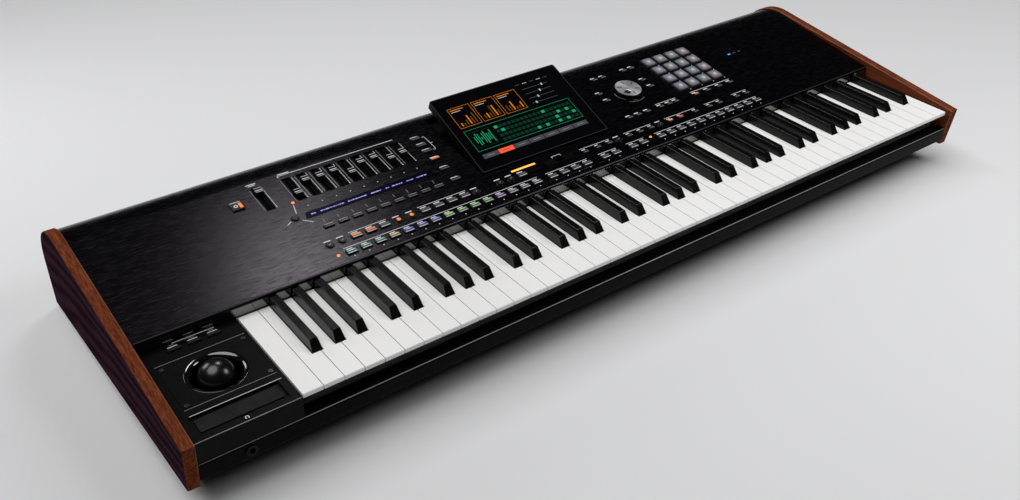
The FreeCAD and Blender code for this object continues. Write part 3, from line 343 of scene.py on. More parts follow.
def plates(face, rows, low, high, edge, tints=plain):
    """Bevelled plates. A row is (u, v, width, length, turn): three rings of four corners stand at the low
    height, below the bevel and at the top, where they are drawn in by the edge."""
    rows = np.array([tuple(row) + (0.0,) * (5 - len(row)) for row in rows], float)
    signs = np.array(((-1, -1), (1, -1), (1, 1), (-1, 1)), float)
    cos, sin = np.cos(rows[:, 4])[:, None], np.sin(rows[:, 4])[:, None]
    rings = []
    for inset, height in ((0.0, low), (0.0, high - edge), (edge, high)):
        corner = signs * (rows[:, None, 2:4] / 2 - inset)
        u = corner[..., 0] * cos - corner[..., 1] * sin + rows[:, :1]
        v = corner[..., 0] * sin + corner[..., 1] * cos + rows[:, 1:2]
        rings.append(np.stack([u, v, np.full_like(u, height)], axis=-1))
    return skins(face, np.stack(rings, axis=1), tints)


def turned_forms(face, places, profile, around, tints=plain):
    """Turned forms: each (radius, height) of the profile is carried round a circle about every place."""
    angle = np.linspace(0.0, 2 * math.pi, around, endpoint=False)
    profile = np.asarray(profile, float)
    places = np.asarray(places, float)
    u = places[:, None, None, 0] + profile[None, :, None, 0] * np.cos(angle)
    v = places[:, None, None, 1] + profile[None, :, None, 0] * np.sin(angle)
    height = np.broadcast_to(profile[None, :, None, 1], u.shape)
    return skins(face, np.stack([u, v, height], axis=-1), tints)


def open_ring(face, places, profile, around):
    """Ring with a hole: a closed (radius, height) profile carried round a circle about each place."""
    angle = np.linspace(0.0, 2 * math.pi, around, endpoint=False)[:, None]
    profile = np.asarray(profile, float)
    index = np.arange(around * len(profile)).reshape(around, -1)
    after = np.roll(index, -1, axis=0)
    quads = np.stack([index, after, np.roll(after, -1, axis=1), np.roll(index, -1, axis=1)], axis=-1)
    quads = quads.reshape(-1, 4)
    points, faces = [], []
    for number, (u, v) in enumerate(places):
        across, up = u + np.cos(angle) * profile[:, 0], v + np.sin(angle) * profile[:, 0]
        wheel = np.stack([across, up, np.broadcast_to(profile[:, 1], across.shape)], axis=-1)
        points.append(on_face(face, wheel).reshape(-1, 3))
        faces += (quads + number * index.size).tolist()
    points = np.concatenate(points)
    return {"points": points, "faces": faces, "tint": np.ones((len(points), 3))}


def dots(face, places, radius, high, tints=plain, around=16):
    """Low domed dots: a round wall and a cap that falls off as a quarter circle."""
    fall = np.linspace(0.0, math.pi / 2, 4)[:-1]
    dome = [(radius * math.cos(a), high * (0.4 + 0.6 * math.sin(a))) for a in fall]
    return turned_forms(face, places, [(radius, -sunk)] + dome + [(radius / 20, high)], around, tints)


def ribbon(face, path, width, high, tint=plain):
    """Flat band along a path of (u, v) points: half the width to each side of the local direction."""
    path = np.asarray(path, float)
    along = np.gradient(path, axis=0)
    along /= np.linalg.norm(along, axis=1)[:, None]
    side = np.stack([-along[:, 1], along[:, 0]], axis=1) * width / 2
    corners = ((1, -sunk), (-1, -sunk), (-1, high), (1, high))
    rings = [np.column_stack([path + sign * side, np.full(len(path), h)]) for sign, h in corners]
    return skins(face, np.stack(rings, axis=1)[None][:, :, ::-1], tint)


def segment(start, end, width):
    """Straight line as a plate row: its middle, length and direction."""
    du, dv = end[0] - start[0], end[1] - start[1]
    middle = ((start[0] + end[0]) / 2, (start[1] + end[1]) / 2)
    return middle + (math.hypot(du, dv), width, math.atan2(dv, du))


def bend_band(first, last, centre, radius, start, end, tint):
    """Thin band on a bend along X, which carries a painted highlight: an arc of (y, z) about a centre,
    between two angles in degrees from the front, is carried from the first x to the last."""
    angle = np.radians(np.linspace(start, end, 12))
    out = np.stack([-np.cos(angle), np.sin(angle)], axis=-1)
    loop = np.concatenate([(out * (radius + skin))[::-1], out * (radius - sunk)]) + centre
    rings = [np.column_stack([np.full(len(loop), x), loop]) for x in (first, last)]
    return skins(room, np.stack(rings)[None], tint)


def arc(centre, radius, start, end, count=24):
    """Points on a circle between two angles in degrees."""
    angle = np.radians(np.linspace(start, end, count))
    return np.column_stack([centre[0] + radius * np.cos(angle), centre[1] + radius * np.sin(angle)])


def merged(parts):
    """Several skins as one: their points follow each other and their faces count on."""
    points, faces, tint, start = [], [], [], 0
    for part in parts:
        points.append(part["points"])
        tint.append(part["tint"])
        faces += [[i + start for i in face] for face in part["faces"]]
        start += len(part["points"])
    return {"points": np.concatenate(points), "faces": faces, "tint": np.concatenate(tint)}


def add_piece(name, body, parts, material, smooth=False):
    """One object of the scene from a list of skins, riding on a body."""
    form = merged(parts)
    mesh = bpy.data.meshes.new(name)
    mesh.from_pydata(form["points"].tolist(), [], form["faces"])
    layer = mesh.attributes.new("tint", "FLOAT_COLOR", "POINT")
    colour = np.column_stack([form["tint"], np.ones(len(form["tint"]))])
    layer.data.foreach_set("color", colour.astype(np.float32).ravel())
    if smooth:
        mesh.polygons.foreach_set("use_smooth", np.ones(len(mesh.polygons), bool))
    mesh.materials.append(material)
    mesh.update()
    piece = bpy.data.objects.new(name, mesh)
    bpy.context.scene.collection.objects.link(piece)
    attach(piece, body)
    return piece


# Materials

class Look:
    """A material and its nodes. The values of a node are numbers, colours or other nodes' outputs."""

    def __init__(self, name, roughness=0.5, metallic=0.0, specular=0.5, coat=0.0):
        self.material = bpy.data.materials.new(name)
        self.material.use_nodes = True
        self.tree = self.material.node_tree
        self.shader = self.tree.nodes["Principled BSDF"]
        self.surface({"Roughness": roughness, "Metallic": metallic, "Specular IOR Level": specular,
                      "Coat Weight": coat, "Coat Roughness": 0.08})

    def give(self, node, values):
        """Set or link inputs of a node."""
        for key, value in values.items():
            if isinstance(value, bpy.types.NodeSocket):
                self.tree.links.new(value, node.inputs[key])
            else:
                node.inputs[key].default_value = value

    def surface(self, values):
        """Set or link inputs of the surface."""
        self.give(self.shader, values)

    def node(self, kind, values=None):
        """New node of a kind, with its inputs."""
        node = self.tree.nodes.new(kind)
        self.give(node, values or {})
        return node

    def places(self, stretch=plain, turn=(0.0, 0.0, 0.0), shift=(0.0, 0.0, 0.0)):
        """Object coordinates, moved, turned and stretched."""
        source = self.node("ShaderNodeTexCoord").outputs["Object"]
        values = {"Vector": source, "Location": shift, "Rotation": turn, "Scale": stretch}
        return self.node("ShaderNodeMapping", values).outputs["Vector"]

    def noise(self, places, scale, detail=3.0, roughness=0.55):
        values = {"Vector": places, "Scale": scale, "Detail": detail, "Roughness": roughness}
        return self.node("ShaderNodeTexNoise", values).outputs["Fac"]

    def ramp(self, value, stops):
        """Colour ramp with stops of (place, colour)."""
        node = self.node("ShaderNodeValToRGB", {"Fac": value})
        elements = node.color_ramp.elements
        while len(elements) < len(stops):
            elements.new(0.5)
        for element, (place, colour) in zip(elements, stops):
            element.position = place
            element.color = colour + (1.0,)
        return node.outputs["Color"]

    def remap(self, value, low, high, start=0.3, end=0.7):
        """Range from start to end, stretched to run from low to high."""
        values = {"Value": value, "From Min": start, "From Max": end, "To Min": low, "To Max": high}
        return self.node("ShaderNodeMapRange", values).outputs["Result"]

    def bump(self, height, strength, distance=0.0002):
        values = {"Height": height, "Strength": strength, "Distance": distance}
        self.surface({"Normal": self.node("ShaderNodeBump", values).outputs["Normal"]})

    def calc(self, operation, first, second):
        node = self.node("ShaderNodeMath", {0: first, 1: second})
        node.operation = operation
        return node.outputs[0]

    def blend(self, first, share, second):
        """A share of the first value and the rest of the second."""
        rest = self.calc("MULTIPLY", second, 1.0 - share)
        return self.calc("ADD", self.calc("MULTIPLY", first, share), rest)

    def mixed(self, share, first, second):
        """Colour between two, by a share."""
        node = self.node("ShaderNodeMix")
        node.data_type = "RGBA"
        low, high = [i for i, socket in enumerate(node.inputs) if socket.type == "RGBA"]
        self.give(node, {"Factor": share, low: first, high: second})
        return [socket for socket in node.outputs if socket.type == "RGBA"][0]

    def facing(self, start, end):
        """How far the surface faces along X, from 0 at the start to 1 at the end."""
        source = self.node("ShaderNodeTexCoord").outputs["Normal"]
        split = self.node("ShaderNodeSeparateXYZ", {"Vector": source})
        return self.remap(split.outputs["X"], 0.0, 1.0, start, end)

    def tint(self):
        """Colour that a piece carries at each of its points."""
        node = self.node("ShaderNodeAttribute")
        node.attribute_name = "tint"
        return node.outputs["Color"]


def grained(name, dark, light, rough, scale, stretch=plain, strength=0.2, metallic=0.0, specular=0.5):
    """Moulded, coated or rubbed surface: a broad noise moves the colour a little, and a fine one moves
    the roughness and dents the surface."""
    look = Look(name, metallic=metallic, specular=specular)
    places = look.places(stretch)
    fine = look.noise(places, scale)
    broad = look.noise(places, scale / 25, 2.0)
    look.surface({"Base Color": look.ramp(broad, ((0.35, dark), (0.65, light))),
                  "Roughness": look.remap(fine, *rough)})
    look.bump(fine, strength)
    return look.material


def brushed_panel():
    """Black panel whose sheen takes a painted violet tint of light: short streaks along its width move its
    colour and roughness, and finer ones dent it."""
    look = Look("brushed_black_panel", specular=0.22)
    fine = look.noise(look.places((52.0, 2300.0, 2300.0)), 1.0, 1.0, 0.5)
    streak = look.noise(look.places((75.0, 640.0, 640.0)), 1.0, 1.0, 0.5)
    both = look.blend(fine, 0.4, streak)
    stops = ((0.42, (0.0002, 0.0002, 0.0003)), (0.52, (0.0006, 0.0005, 0.0008)),
             (0.62, (0.0030, 0.0026, 0.0036)))
    # The violet specular tint, and the faint violet of the stops, are a painted cast of coloured light
    look.surface({"Specular Tint": (0.97, 0.84, 1.0, 1.0), "Base Color": look.ramp(both, stops),
                  "Roughness": look.remap(both, 0.18, 0.29, 0.38, 0.62)})
    look.bump(fine, 0.3, 0.00025)
    return look.material


def side_wood(name, outer_sign):
    """Oiled wood: straight lines on its edges and inner face, a painted highlight along the inner arris,
    and arches on the outer face, where the surface faces out along X. The outer face's dark purple-brown is
    painted shade with a painted violet cast of light."""
    look = Look(name, specular=0.0)
    fibre = look.noise(look.places((900.0, 6.0, 900.0)), 1.0, 3.0, 0.6)
    band = look.noise(look.places((260.0, 2.2, 260.0)), 1.0, 2.0, 0.5)
    stops = ((0.38, (0.070, 0.0165, 0.0072)), (0.5, (0.135, 0.034, 0.0145)),
             (0.62, (0.205, 0.058, 0.026)))
    edge = look.ramp(look.blend(fibre, 0.6, band), stops)
    # Painted highlight along the inner arris, on faces that turn between the top and the inner side
    rising = look.facing(-0.3 * outer_sign, -0.55 * outer_sign)
    falling = look.facing(-0.97 * outer_sign, -0.8 * outer_sign)
    arris_highlight = look.calc("MULTIPLY", look.calc("MULTIPLY", rising, falling), 0.2)
    edge = look.mixed(arris_highlight, edge, (0.62, 0.40, 0.30, 1.0))
    places = look.places((1.0, 0.42, 2.2), (0.1, 0.0, 0.0), (0.0, 0.11, 0.0))
    wave = look.node("ShaderNodeTexWave", {"Vector": places, "Scale": 9.0, "Distortion": 5.0,
                                           "Detail": 3.0, "Detail Scale": 2.2})
    wave.wave_type = "RINGS"
    wave.rings_direction = "X"
    # Outer face: the arches in a dark purple-brown, which is painted shade with a painted violet cast of
    # light
    stops = ((0.15, (0.014, 0.0062, 0.0098)), (0.5, (0.030, 0.0140, 0.0205)),
             (0.85, (0.044, 0.0215, 0.031)))
    arches_in_painted_shade = look.ramp(look.blend(wave.outputs["Fac"], 0.55, fibre), stops)
    outer = look.facing(0.45 * outer_sign, 0.9 * outer_sign)
    look.surface({"Base Color": look.mixed(outer, edge, arches_in_painted_shade), "Roughness": look.remap(fibre, 0.42, 0.6)})
    look.bump(fibre, 0.2)
    return look.material


def tinted(name, glow, roughness=0.3, specular=0.3):
    """Lens or print in the tint of each mark, with an even glow and a slight mottle in its gloss."""
    look = Look(name, roughness, specular=specular)
    fine = look.noise(look.places(), 900.0)
    colour = look.tint()
    look.surface({"Base Color": colour, "Roughness": look.remap(fine, roughness * 0.8, roughness * 1.25)})
    if glow > 0:
        look.surface({"Emission Color": colour, "Emission Strength": glow})
    return look.material


def pad_rubber():
    """Silver-grey pad lit from below: a bright middle that fades to the edge, read from the pad's own
    tints."""
    look = Look("lit_pad_rubber", 0.4)
    fine = look.noise(look.places(), 1400.0)
    colour = look.tint()
    look.surface({"Base Color": colour, "Emission Color": colour, "Emission Strength": 0.22,
                  "Roughness": look.remap(fine, 0.34, 0.5)})
    look.bump(fine, 0.15)
    return look.material


def turned_metal():
    """Turned dial: a bright top with fine rings, from the distance to the middle of the top, and a dark
    side."""
    look = Look("turned_aluminium", 0.3, metallic=0.74)
    tangent = look.node("ShaderNodeTangent")
    tangent.direction_type = "RADIAL"
    tangent.axis = "Z"
    middle = on_face(panel, (dial_u, dial_up, dial_lift + dial_height))
    place = look.node("ShaderNodeTexCoord").outputs["Object"]
    distance = look.node("ShaderNodeVectorMath", {0: place, 1: tuple(middle)})
    distance.operation = "DISTANCE"
    away = distance.outputs["Value"]
    lathe = look.node("ShaderNodeTexNoise", {"Scale": 1500.0})
    lathe.noise_dimensions = "1D"
    look.give(lathe, {"W": away})
    rings = lathe.outputs["Fac"]
    bright = look.ramp(rings, ((0.3, (0.60, 0.60, 0.62)), (0.7, (0.80, 0.80, 0.82))))
    side = look.remap(away, 0.0, 1.0, dial_bright * mm, (dial_bright + 0.4) * mm)
    look.surface({"Anisotropic": 0.8, "Tangent": tangent.outputs["Tangent"],
                  "Base Color": look.mixed(side, bright, (0.012, 0.012, 0.013, 1.0)),
                  "Roughness": look.remap(rings, 0.28, 0.38)})
    return look.material


def circuit_board(name):
    """Green board: darker copper paths from a brick pattern under the lacquer."""
    look = Look(name, 0.35, coat=0.3)
    brick = look.node("ShaderNodeTexBrick", {
        "Vector": look.places(), "Scale": 60.0, "Color1": (0.02, 0.09, 0.035, 1.0),
        "Color2": (0.03, 0.12, 0.05, 1.0), "Mortar": (0.05, 0.2, 0.08, 1.0)})
    look.surface({"Base Color": brick.outputs["Color"]})
    return look.material


def finish_nodes():
    """Each node of the case, keys and controls takes its own finish."""
    satin = grained("satin_black_coat", (0.0012, 0.0012, 0.0014), (0.0026, 0.0026, 0.0029),
                    (0.32, 0.46), 700.0, specular=0.04)
    moulded = grained("moulded_black", (0.0016, 0.0016, 0.0018), (0.0032, 0.0032, 0.0035),
                      (0.34, 0.48), 1500.0, specular=0.07)
    slot_black = grained("slot_black", (0.0006, 0.0006, 0.0007), (0.0012, 0.0012, 0.0013),
                         (0.55, 0.7), 900.0, specular=0.04)
    ball = grained("ball_black", (0.0025, 0.0025, 0.003), (0.004, 0.004, 0.0045),
                   (0.22, 0.28), 500.0, strength=0.02, specular=0.55)
    gloss = grained("gloss_black", (0.0025, 0.0025, 0.003), (0.004, 0.004, 0.0045),
                    (0.06, 0.11), 500.0, strength=0.02)
    dish_black = grained("dish_black", (0.0015, 0.0015, 0.002), (0.003, 0.003, 0.0035),
                         (0.05, 0.09), 500.0, strength=0.02, specular=1.0)
    strip_grain = grained("strip_grain", (0.003, 0.003, 0.0036), (0.008, 0.008, 0.009),
                          (0.4, 0.6), 2200.0, strength=0.5, specular=0.15)
    cap = grained("button_black", (0.003, 0.003, 0.0034), (0.006, 0.006, 0.0066),
                  (0.35, 0.5), 1200.0, specular=0.3)
    white = grained("warm_white_key", (0.82, 0.815, 0.80), (0.87, 0.865, 0.85),
                    (0.3, 0.36), 60.0, strength=0.0, specular=0.3)
    black = grained("satin_black_key", (0.0018, 0.0018, 0.0018), (0.0036, 0.0035, 0.0034),
                    (0.18, 0.28), 420.0, stretch=(1.0, 0.25, 1.0), strength=0.05, specular=0.3)
    rubber = grained("foot_rubber", (0.012, 0.012, 0.012), (0.022, 0.022, 0.022), (0.7, 0.85), 600.0)
    steel = grained("zinc_steel", (0.40, 0.40, 0.41), (0.55, 0.55, 0.57), (0.3, 0.45), 500.0, metallic=1.0)
    dark_steel = grained("black_zinc", (0.07, 0.07, 0.075), (0.13, 0.13, 0.14),
                         (0.25, 0.38), 900.0, metallic=0.9)
    nut = grained("black_nut", (0.002, 0.002, 0.0022), (0.004, 0.004, 0.0044),
                  (0.22, 0.36), 900.0, specular=0.1)
    frame_grey = grained("moulded_grey", (0.10, 0.10, 0.105), (0.15, 0.15, 0.155), (0.5, 0.65), 700.0)
    felt = grained("red_felt", (0.25, 0.03, 0.03), (0.38, 0.06, 0.05), (0.85, 0.95), 900.0, strength=0.6)
    board = circuit_board("green_board")
    glass = grained("black_glass", (0.0015, 0.0015, 0.002), (0.003, 0.003, 0.0035),
                    (0.05, 0.08), 60.0, strength=0.0, specular=0.1)
    strip_glass = grained("strip_glass", (0.0012, 0.0012, 0.002), (0.0022, 0.0022, 0.003),
                          (0.25, 0.32), 60.0, strength=0.0, specular=0.03)
    pad_body = grained("pad_rubber", (0.018, 0.018, 0.021), (0.030, 0.030, 0.034),
                       (0.45, 0.6), 1200.0, specular=0.2)
    nodes_by_finish = (
        (satin, ("bottom_case", "rear_panel", "front_rail")),
        (brushed_panel(), ("top_panel",)),
        (side_wood("left_side_wood", -1.0), ("side_panel_left",)),
        (side_wood("right_side_wood", 1.0), ("side_panel_right",)),
        (moulded, ("control_block", "joystick_plate", "joystick_gimbal", "display_tray", "display_housing",
                   "data_sockets", "mains_inlet")),
        (cap, ("block_switches", "front_row_buttons", "second_row_buttons", "mixer_buttons",
               "dial_buttons")),
        (steel, ("key_pivot_rod", "power_supply", "dial_encoder")),
        (board, ("contact_board", "main_board", "panel_board")),
        (strip_grain, ("touch_strip",)), (ball, ("joystick",)), (frame_grey, ("key_frame",)),
        (felt, ("key_felts",)), (slot_black, ("fader_bodies",)), (strip_glass, ("strip_display",)),
        (glass, ("display_glass",)), (turned_metal(), ("value_dial",)), (pad_body, ("drum_pads",)),
        (nut, ("jack_sockets",)), (gloss, ("power_rocker",)), (rubber, ("rubber_feet",)),
        (dark_steel, ("screws",)),
    )
    by_node = {name: material for material, names in nodes_by_finish for name in names}
    for name, node in frame["nodes"].items():
        if name.startswith("keys_"):
            material = black if name.endswith("sharp") else white
        elif name.startswith("fader_cap"):
            material = moulded
        else:
            material = by_node[name]
        node.data.materials.clear()
        node.data.materials.append(material)
    return {"gloss": gloss, "ball": ball, "dish": dish_black, "steel": steel}


# Places of the controls

def step(share):
    return control_start + share * control_pitch


def front_row():
    """Middles of the front row's buttons, group by group."""
    found = []
    for start, count in zip(front_row_start_shares, front_row_counts):
        found += [(step(start + i), front_row_up) for i in range(count)]
    return found


def fader_us():
    first = step(fader_first_share)
    return [first - fader_single_step] + [first + i * control_pitch for i in range(fader_count)]


def column_places():
    u = step(side_column_share)
    return [(u, side_column_up + share * side_column_length) for share in side_column_up_shares]


def pad_places():
    """Middles of the pads, row by row from the front."""
    offsets = np.arange(pad_count) - (pad_count - 1) / 2
    return np.array([(across, up) for up in offsets for across in offsets]) * pad_pitch + pad_middle


def small_places():
    """Small bars of the second row, of the dial's rows and beside the dial."""
    second = [(step(s), second_row_up) for s in second_small_shares]
    row = [(dial_u + s * control_pitch, dial_row_up) for s in dial_row_shares]
    row += [(pad_middle[0] + s * control_pitch, dial_row_up) for s in pad_row_shares]
    top = [(dial_u + s * control_pitch, dial_top_up) for s in dial_top_shares]
    sides = [(dial_u + side * dial_side_reach, dial_side_up + i * dial_side_step)
             for i in (0, 1) for side in (-1, 1)]
    return second, row + top + sides


# Lenses and caps on the buttons

front_row_tints = ((cyan,) + (teal,) * 2 + (olive,) + (blue,) * 3 + (lime,) + (green,) * 3 + (purple,)
                   + (violet_grey,) * 3 + (slate,) * 19)


def cap_rows(places, shape, turn=0.0):
    """Plate rows on caps: a shape's width and length, shifted up the panel from each cap's middle."""
    width, length, shift = shape
    return [(u, v + shift, width, length, turn) for u, v in places]


def lenses(places, shape, tints):
    """Lens on each cap, which stands proud of it by the lens height."""
    low, high = button_lift - sunk, button_lift + lens_height
    return plates(panel, cap_rows(places, shape), low, high, lens_edge, tints)


def cap_lines(places, shape, tint, height=lip_height, turn=0.0):
    """Thin line on each cap: a painted highlight along its lip, or a mark."""
    low, high = button_lift - sunk, button_lift + height
    return plates(panel, cap_rows(places, shape, turn), low, high, lip_edge, tint)


def ink(face, rows, tint):
    """Printed marks: plates of the thickness of the ink."""
    return plates(face, rows, -sunk, print_height, ink_edge, tint)


def button_lenses():
    """Lit lenses, and painted highlights along the caps' lips, on the four banks of buttons."""
    lens = tinted("lit_lens", 0.3, 0.3)
    highlight_and_mark = tinted("button_lip_highlight_and_mark", 0.0, 0.35)
    top = button_lift + lens_height
    row = front_row()
    letters = cap_rows(row[:front_row_counts[0]], lens_letter)
    wide = [(step(s), second_row_up) for s in second_row_shares]
    rounds = [(step(s), second_row_up) for s in second_round_shares]
    small, dial_small = small_places()
    bars = [(step(i), mixer_row_up) for i in range(mixer_row_count)] + column_places()
    wide_tints = [lit_wide] * 2 + [slate] * (len(wide) - 2)
    small_tints = [dark_lens] * len(small)
    small_tints[6:8] = amber, red
    bar_tints = [bar_black] * len(bars)
    bar_tints[mixer_row_count + 3] = orange
    dial_tints = [dark_lens] * len(dial_small)
    dial_tints[len(dial_row_shares)] = orange
    u, v = square_button
    ring_place = (u + square_ring_place[0], v + square_ring_place[1])
    low, high = button_lift - sunk, button_lift + lip_height
    ring = [(r, low) for r in square_ring_radii] + [(r, high) for r in square_ring_radii[::-1]]
    # Lip lines are painted highlights on the caps' edges; the round marks and the square cap's ring are
    # printed marks
    banks = {
        "front_row": (
            [lenses(row, wide_lens, front_row_tints)],
            [cap_lines(row, wide_lip_highlight, lip_highlight_grey),
             plates(panel, letters, top - sunk, top + print_height, ink_edge, white_print_and_lip_highlight)]),
        "second_row": (
            [lenses(wide, wide_lens, wide_tints), lenses(small, small_lens, small_tints),
             dots(panel, rounds[2:4], round_lens_radius, top + 0.3, orange, 24)],
            [cap_lines(wide, wide_lip_highlight, lip_highlight_grey), cap_lines(small, small_lip_highlight, dim_print_and_lip_highlight),
             cap_lines(rounds, round_mark, dim_print_and_lip_highlight, turn=round_mark_turn)]),
        "mixer": (
            [lenses(bars, bar_lens, bar_tints),
             lenses([(u + square_lens_across, v)], square_lens, orange)],
            [cap_lines(bars, bar_lip_highlight, lip_highlight_grey, bar_lip_height),
             cap_lines(bars, bar_foot_highlight, dim_print_and_lip_highlight, bar_lip_height),
             cap_lines([square_button], square_lip_highlight, white_print_and_lip_highlight, bar_lip_height),
             open_ring(panel, [ring_place], ring, 24)]),
        "dial": (
            [lenses(dial_small, small_lens, dial_tints)], [cap_lines(dial_small, small_lip_highlight, dim_print_and_lip_highlight)]),
    }
    for bank, (lens_parts, highlight_and_mark_parts) in banks.items():
        buttons = bank + "_buttons"
        add_piece(bank + "_lenses", buttons, lens_parts, lens)
        add_piece(bank + "_lip_highlights_and_marks", buttons, highlight_and_mark_parts, highlight_and_mark)


def round_knob_rims():
    """Raised rims round the round buttons: a low ring turned about each one."""
    places = [(step(s), second_row_up) for s in second_round_shares] + [scene_knob]
    profile = ((round_radius + 0.5, -sunk), (round_radius + 1.5, -sunk), (round_radius + 1.3, 0.5),
               (round_radius + 0.7, 0.5))
    return open_ring(panel, places, profile, 28)


# Printed marks on the panel

def group_lines(places, groups, reach, up, width):
    """Line above each group of buttons, from a reach before its first to a reach past its last."""
    return [segment((places[a][0] - reach, up), (places[b][0] + reach, up), width) for a, b in groups]


def captions(faders, small, dial_small, wide):
    """Short bars in place of words, one or two for each control."""
    rows = [(u, front_caption_up, 7.5, 1.4) for u, v in front_row()]
    rows += [(u, v + 6.4, 8.5, 1.5) for u, v in wide]
    rows += [(u, v + 5.2, 6.0, 1.4) for u, v in small]
    rows += [(step(s), second_row_up + 7.6, 9.0, 1.5) for s in second_round_shares]
    rows += [(u - 1.2, v + 4.7, 7.4, 1.9) for u, v in dial_small]
    rows += [(u, v + 4.6, 10.0, 1.2) for u, v in column_places()]
    single = faders[0] - 1.5
    rows += [(single, fader_up + 28.4, 9.0, 1.1), (single, fader_up + 31.0, 13.0, 1.3)]
    return rows


def panel_lines(faders, small, dial_small, wide):
    """Lines over the groups, the frame of the faders, the knob's three pointers and two brackets."""
    ends = np.cumsum(front_row_counts)
    groups = [(end - count, end - 1) for end, count in zip(ends, front_row_counts)]
    lines = group_lines(front_row(), groups, 6.0, front_title_up, title_line)
    lines += group_lines(wide, ((0, 2), (3, 6)), 6.5, wide_title_up, title_line)
    groups = ((0, 2), (3, 5), (6, 8), (9, 10), (11, 12))
    lines += group_lines(small, groups, 5.0, small_title_up, title_line)
    first = len(dial_row_shares)
    groups = ((first, first + len(pad_row_shares) - 1), (3, 5))
    lines += group_lines(dial_small, groups, 5.0, dial_title_up, knob_line)
    title = faders[1] - 7.0
    corner = (title, mixer_title_up)
    lines.append(segment(corner, (faders[-1] + 4.0, mixer_title_up), frame_line))
    lines.append(segment(corner, (title, mixer_title_up - mixer_title_drop), frame_line))
    lines.append((title + 9.0, mixer_caption_up, 15.0, 1.5))
    pointers = ((9.6, 120.0, 5.6, 105.0), (-7.0, 94.6, -13.5, 90.6), (6.5, 91.0, 16.0, 82.0))
    knob = scene_knob[0]
    lines += [segment((knob + a, b), (knob + c, d), knob_line) for a, b, c, d in pointers]
    column = step(side_column_share) + 9.6
    stem, tip = column + 4.0, column + 8.0
    top, middle, low = [up for u, up in column_places()][:3]
    bracket = ((column, top, stem, top), (column, low, stem, low), (stem, top, stem, low),
               (stem, middle, tip, middle))
    lines += [segment((a, b), (c, d), bracket_line) for a, b, c, d in bracket]
    left, right = socket_bracket[0] - bracket_reach, socket_bracket[0] + bracket_reach
    up, foot = socket_bracket[1], socket_bracket[1] - bracket_drop
    bracket = ((left, up, right, up), (left, up, left, foot), (right, up, right, foot))
    lines += [segment((a, b), (c, d), title_line) for a, b, c, d in bracket]
    return lines


def panel_prints():
    """Thin lines, captions, ticks and dots: one plate or band for each mark."""
    small, dial_small = small_places()
    wide = [(step(s), second_row_up) for s in second_row_shares]
    faders = fader_us()
    length = fader_travel + fader_line_spare
    bright = captions(faders, small, dial_small, wide) + panel_lines(faders, small, dial_small, wide)
    bright += [(u + fader_line_out, fader_up, 0.5, length) for u in faders]
    dim = [(step(i) - 1.0, mixer_tick_up, 0.6, 6.0) for i in range(mixer_row_count)]
    dim += [(u - fader_line_out, fader_up, 0.45, length) for u in faders]
    spots = [(u, front_dot_up) for u, v in front_row()]
    spots += [(u + fader_line_out, fader_up - fader_travel / 2 - 4.0) for u in faders]
    spots += [(u, fader_dot_up) for u in faders[1:]]
    spots += (pad_places() + (pad_size / 2 + 1.4, -pad_size / 2 - 1.2)).tolist()
    sweep = arc((dial_u, dial_up), dial_radius + 4.8, 236.0, 304.0)
    parts = [ink(panel, bright, white_print_and_lip_highlight), ink(panel, dim, dim_print_and_lip_highlight),
             dots(panel, spots, spot_radius, print_height, white_print_and_lip_highlight, 12),
             ribbon(panel, sweep, 1.8, print_height, arc_print)]
    add_piece("panel_prints", "case", parts, tinted("printed_ink", 0.0, 0.4))


def panel_lamps():
    """Lit lamps on the panel, domed dots and bars, and the same unlit."""
    parts = [dots(panel, round_lamps, 1.9, 0.9, lamp_red),
             plates(panel, [long_lamp], -sunk, 0.4, 0.3, amber),
             plates(panel, [blue_lamp], -sunk, 0.4, 0.3, lamp_blue)]
    add_piece("panel_lamps", "case", parts, tinted("lit_lamp", 1.4, 0.3))
    ends = [(scene_knob[0] + 18.5, 80.0), (scene_knob[0] - 15.5, 89.2)]
    parts = [dots(panel, ends, 1.7, 0.7, slate), plates(panel, unlit_lamps, -sunk, 0.3, 0.2, slate)]
    add_piece("panel_dark_lamps", "case", parts, tinted("unlit_lamp", 0.0, 0.25))


def control_rims(gloss):
    """Low black rings round the dial and the round buttons."""
    ring = ((dial_radius + 0.3, 0.0), (dial_radius + 3.0, 0.0), (dial_radius + 2.4, 1.0),
            (dial_radius + 0.6, 0.8))
    parts = [round_knob_rims(), open_ring(panel, [(dial_u, dial_up)], ring, 72)]
    add_piece("control_rims", "case", parts, gloss, smooth=True)


# Pads, dial and faders

def pad_tops():
    """Soft pad tops: square rings with rounded corners run from the foot of the skirt to the middle. The
    height falls off as the fourth power of the ring's share, and the tint fades from a bright middle to
    the edge."""
    side = np.linspace(-1.0, 1.0, 8, endpoint=False)
    edge = np.ones_like(side)
    ring = np.concatenate([np.stack(pair, axis=-1) for pair in
                           ((side, -edge), (edge, side), (-side, edge), (-edge, -side))])
    ring = ring / (np.sum(np.abs(ring) ** pad_square, axis=-1, keepdims=True) ** (1 / pad_square))
    share = np.array((1.0, 1.0, 0.97, 0.9, 0.75, 0.55, 0.36, 0.2, 0.06))
    height = pad_lift + pad_crown - pad_fall * share ** 4
    height[0] = pad_lift - 1.0
    half = pad_size / 2 - pad_edge * 0.6
    places = pad_places()
    flat = places[:, None, None, :] + half * share[None, :, None, None] * ring[None, None]
    tall = np.broadcast_to(height[None, :, None, None], flat.shape[:3] + (1,))
    tone = pad_tones[np.arange(len(places)) * 3 % len(pad_tones)][:, None, None, :]
    away = np.sum((ring[None] * share[:, None, None]) ** 2, axis=-1)[None, ..., None]
    tint = tone * (1.0 - 0.2 * share[None, :, None, None]) + 0.34 * np.exp(-away / 0.10)
    forms = skins(panel, np.concatenate([flat, tall], axis=-1), tint)
    add_piece("pad_tops", "pads", [forms], pad_rubber(), smooth=True)


def dial_top(radius):
    """Height of the dial's crowned top at a distance from its axis: a straight fall to the edge."""
    return dial_lift + dial_height - dial_crown * radius / (dial_radius - dial_edge)


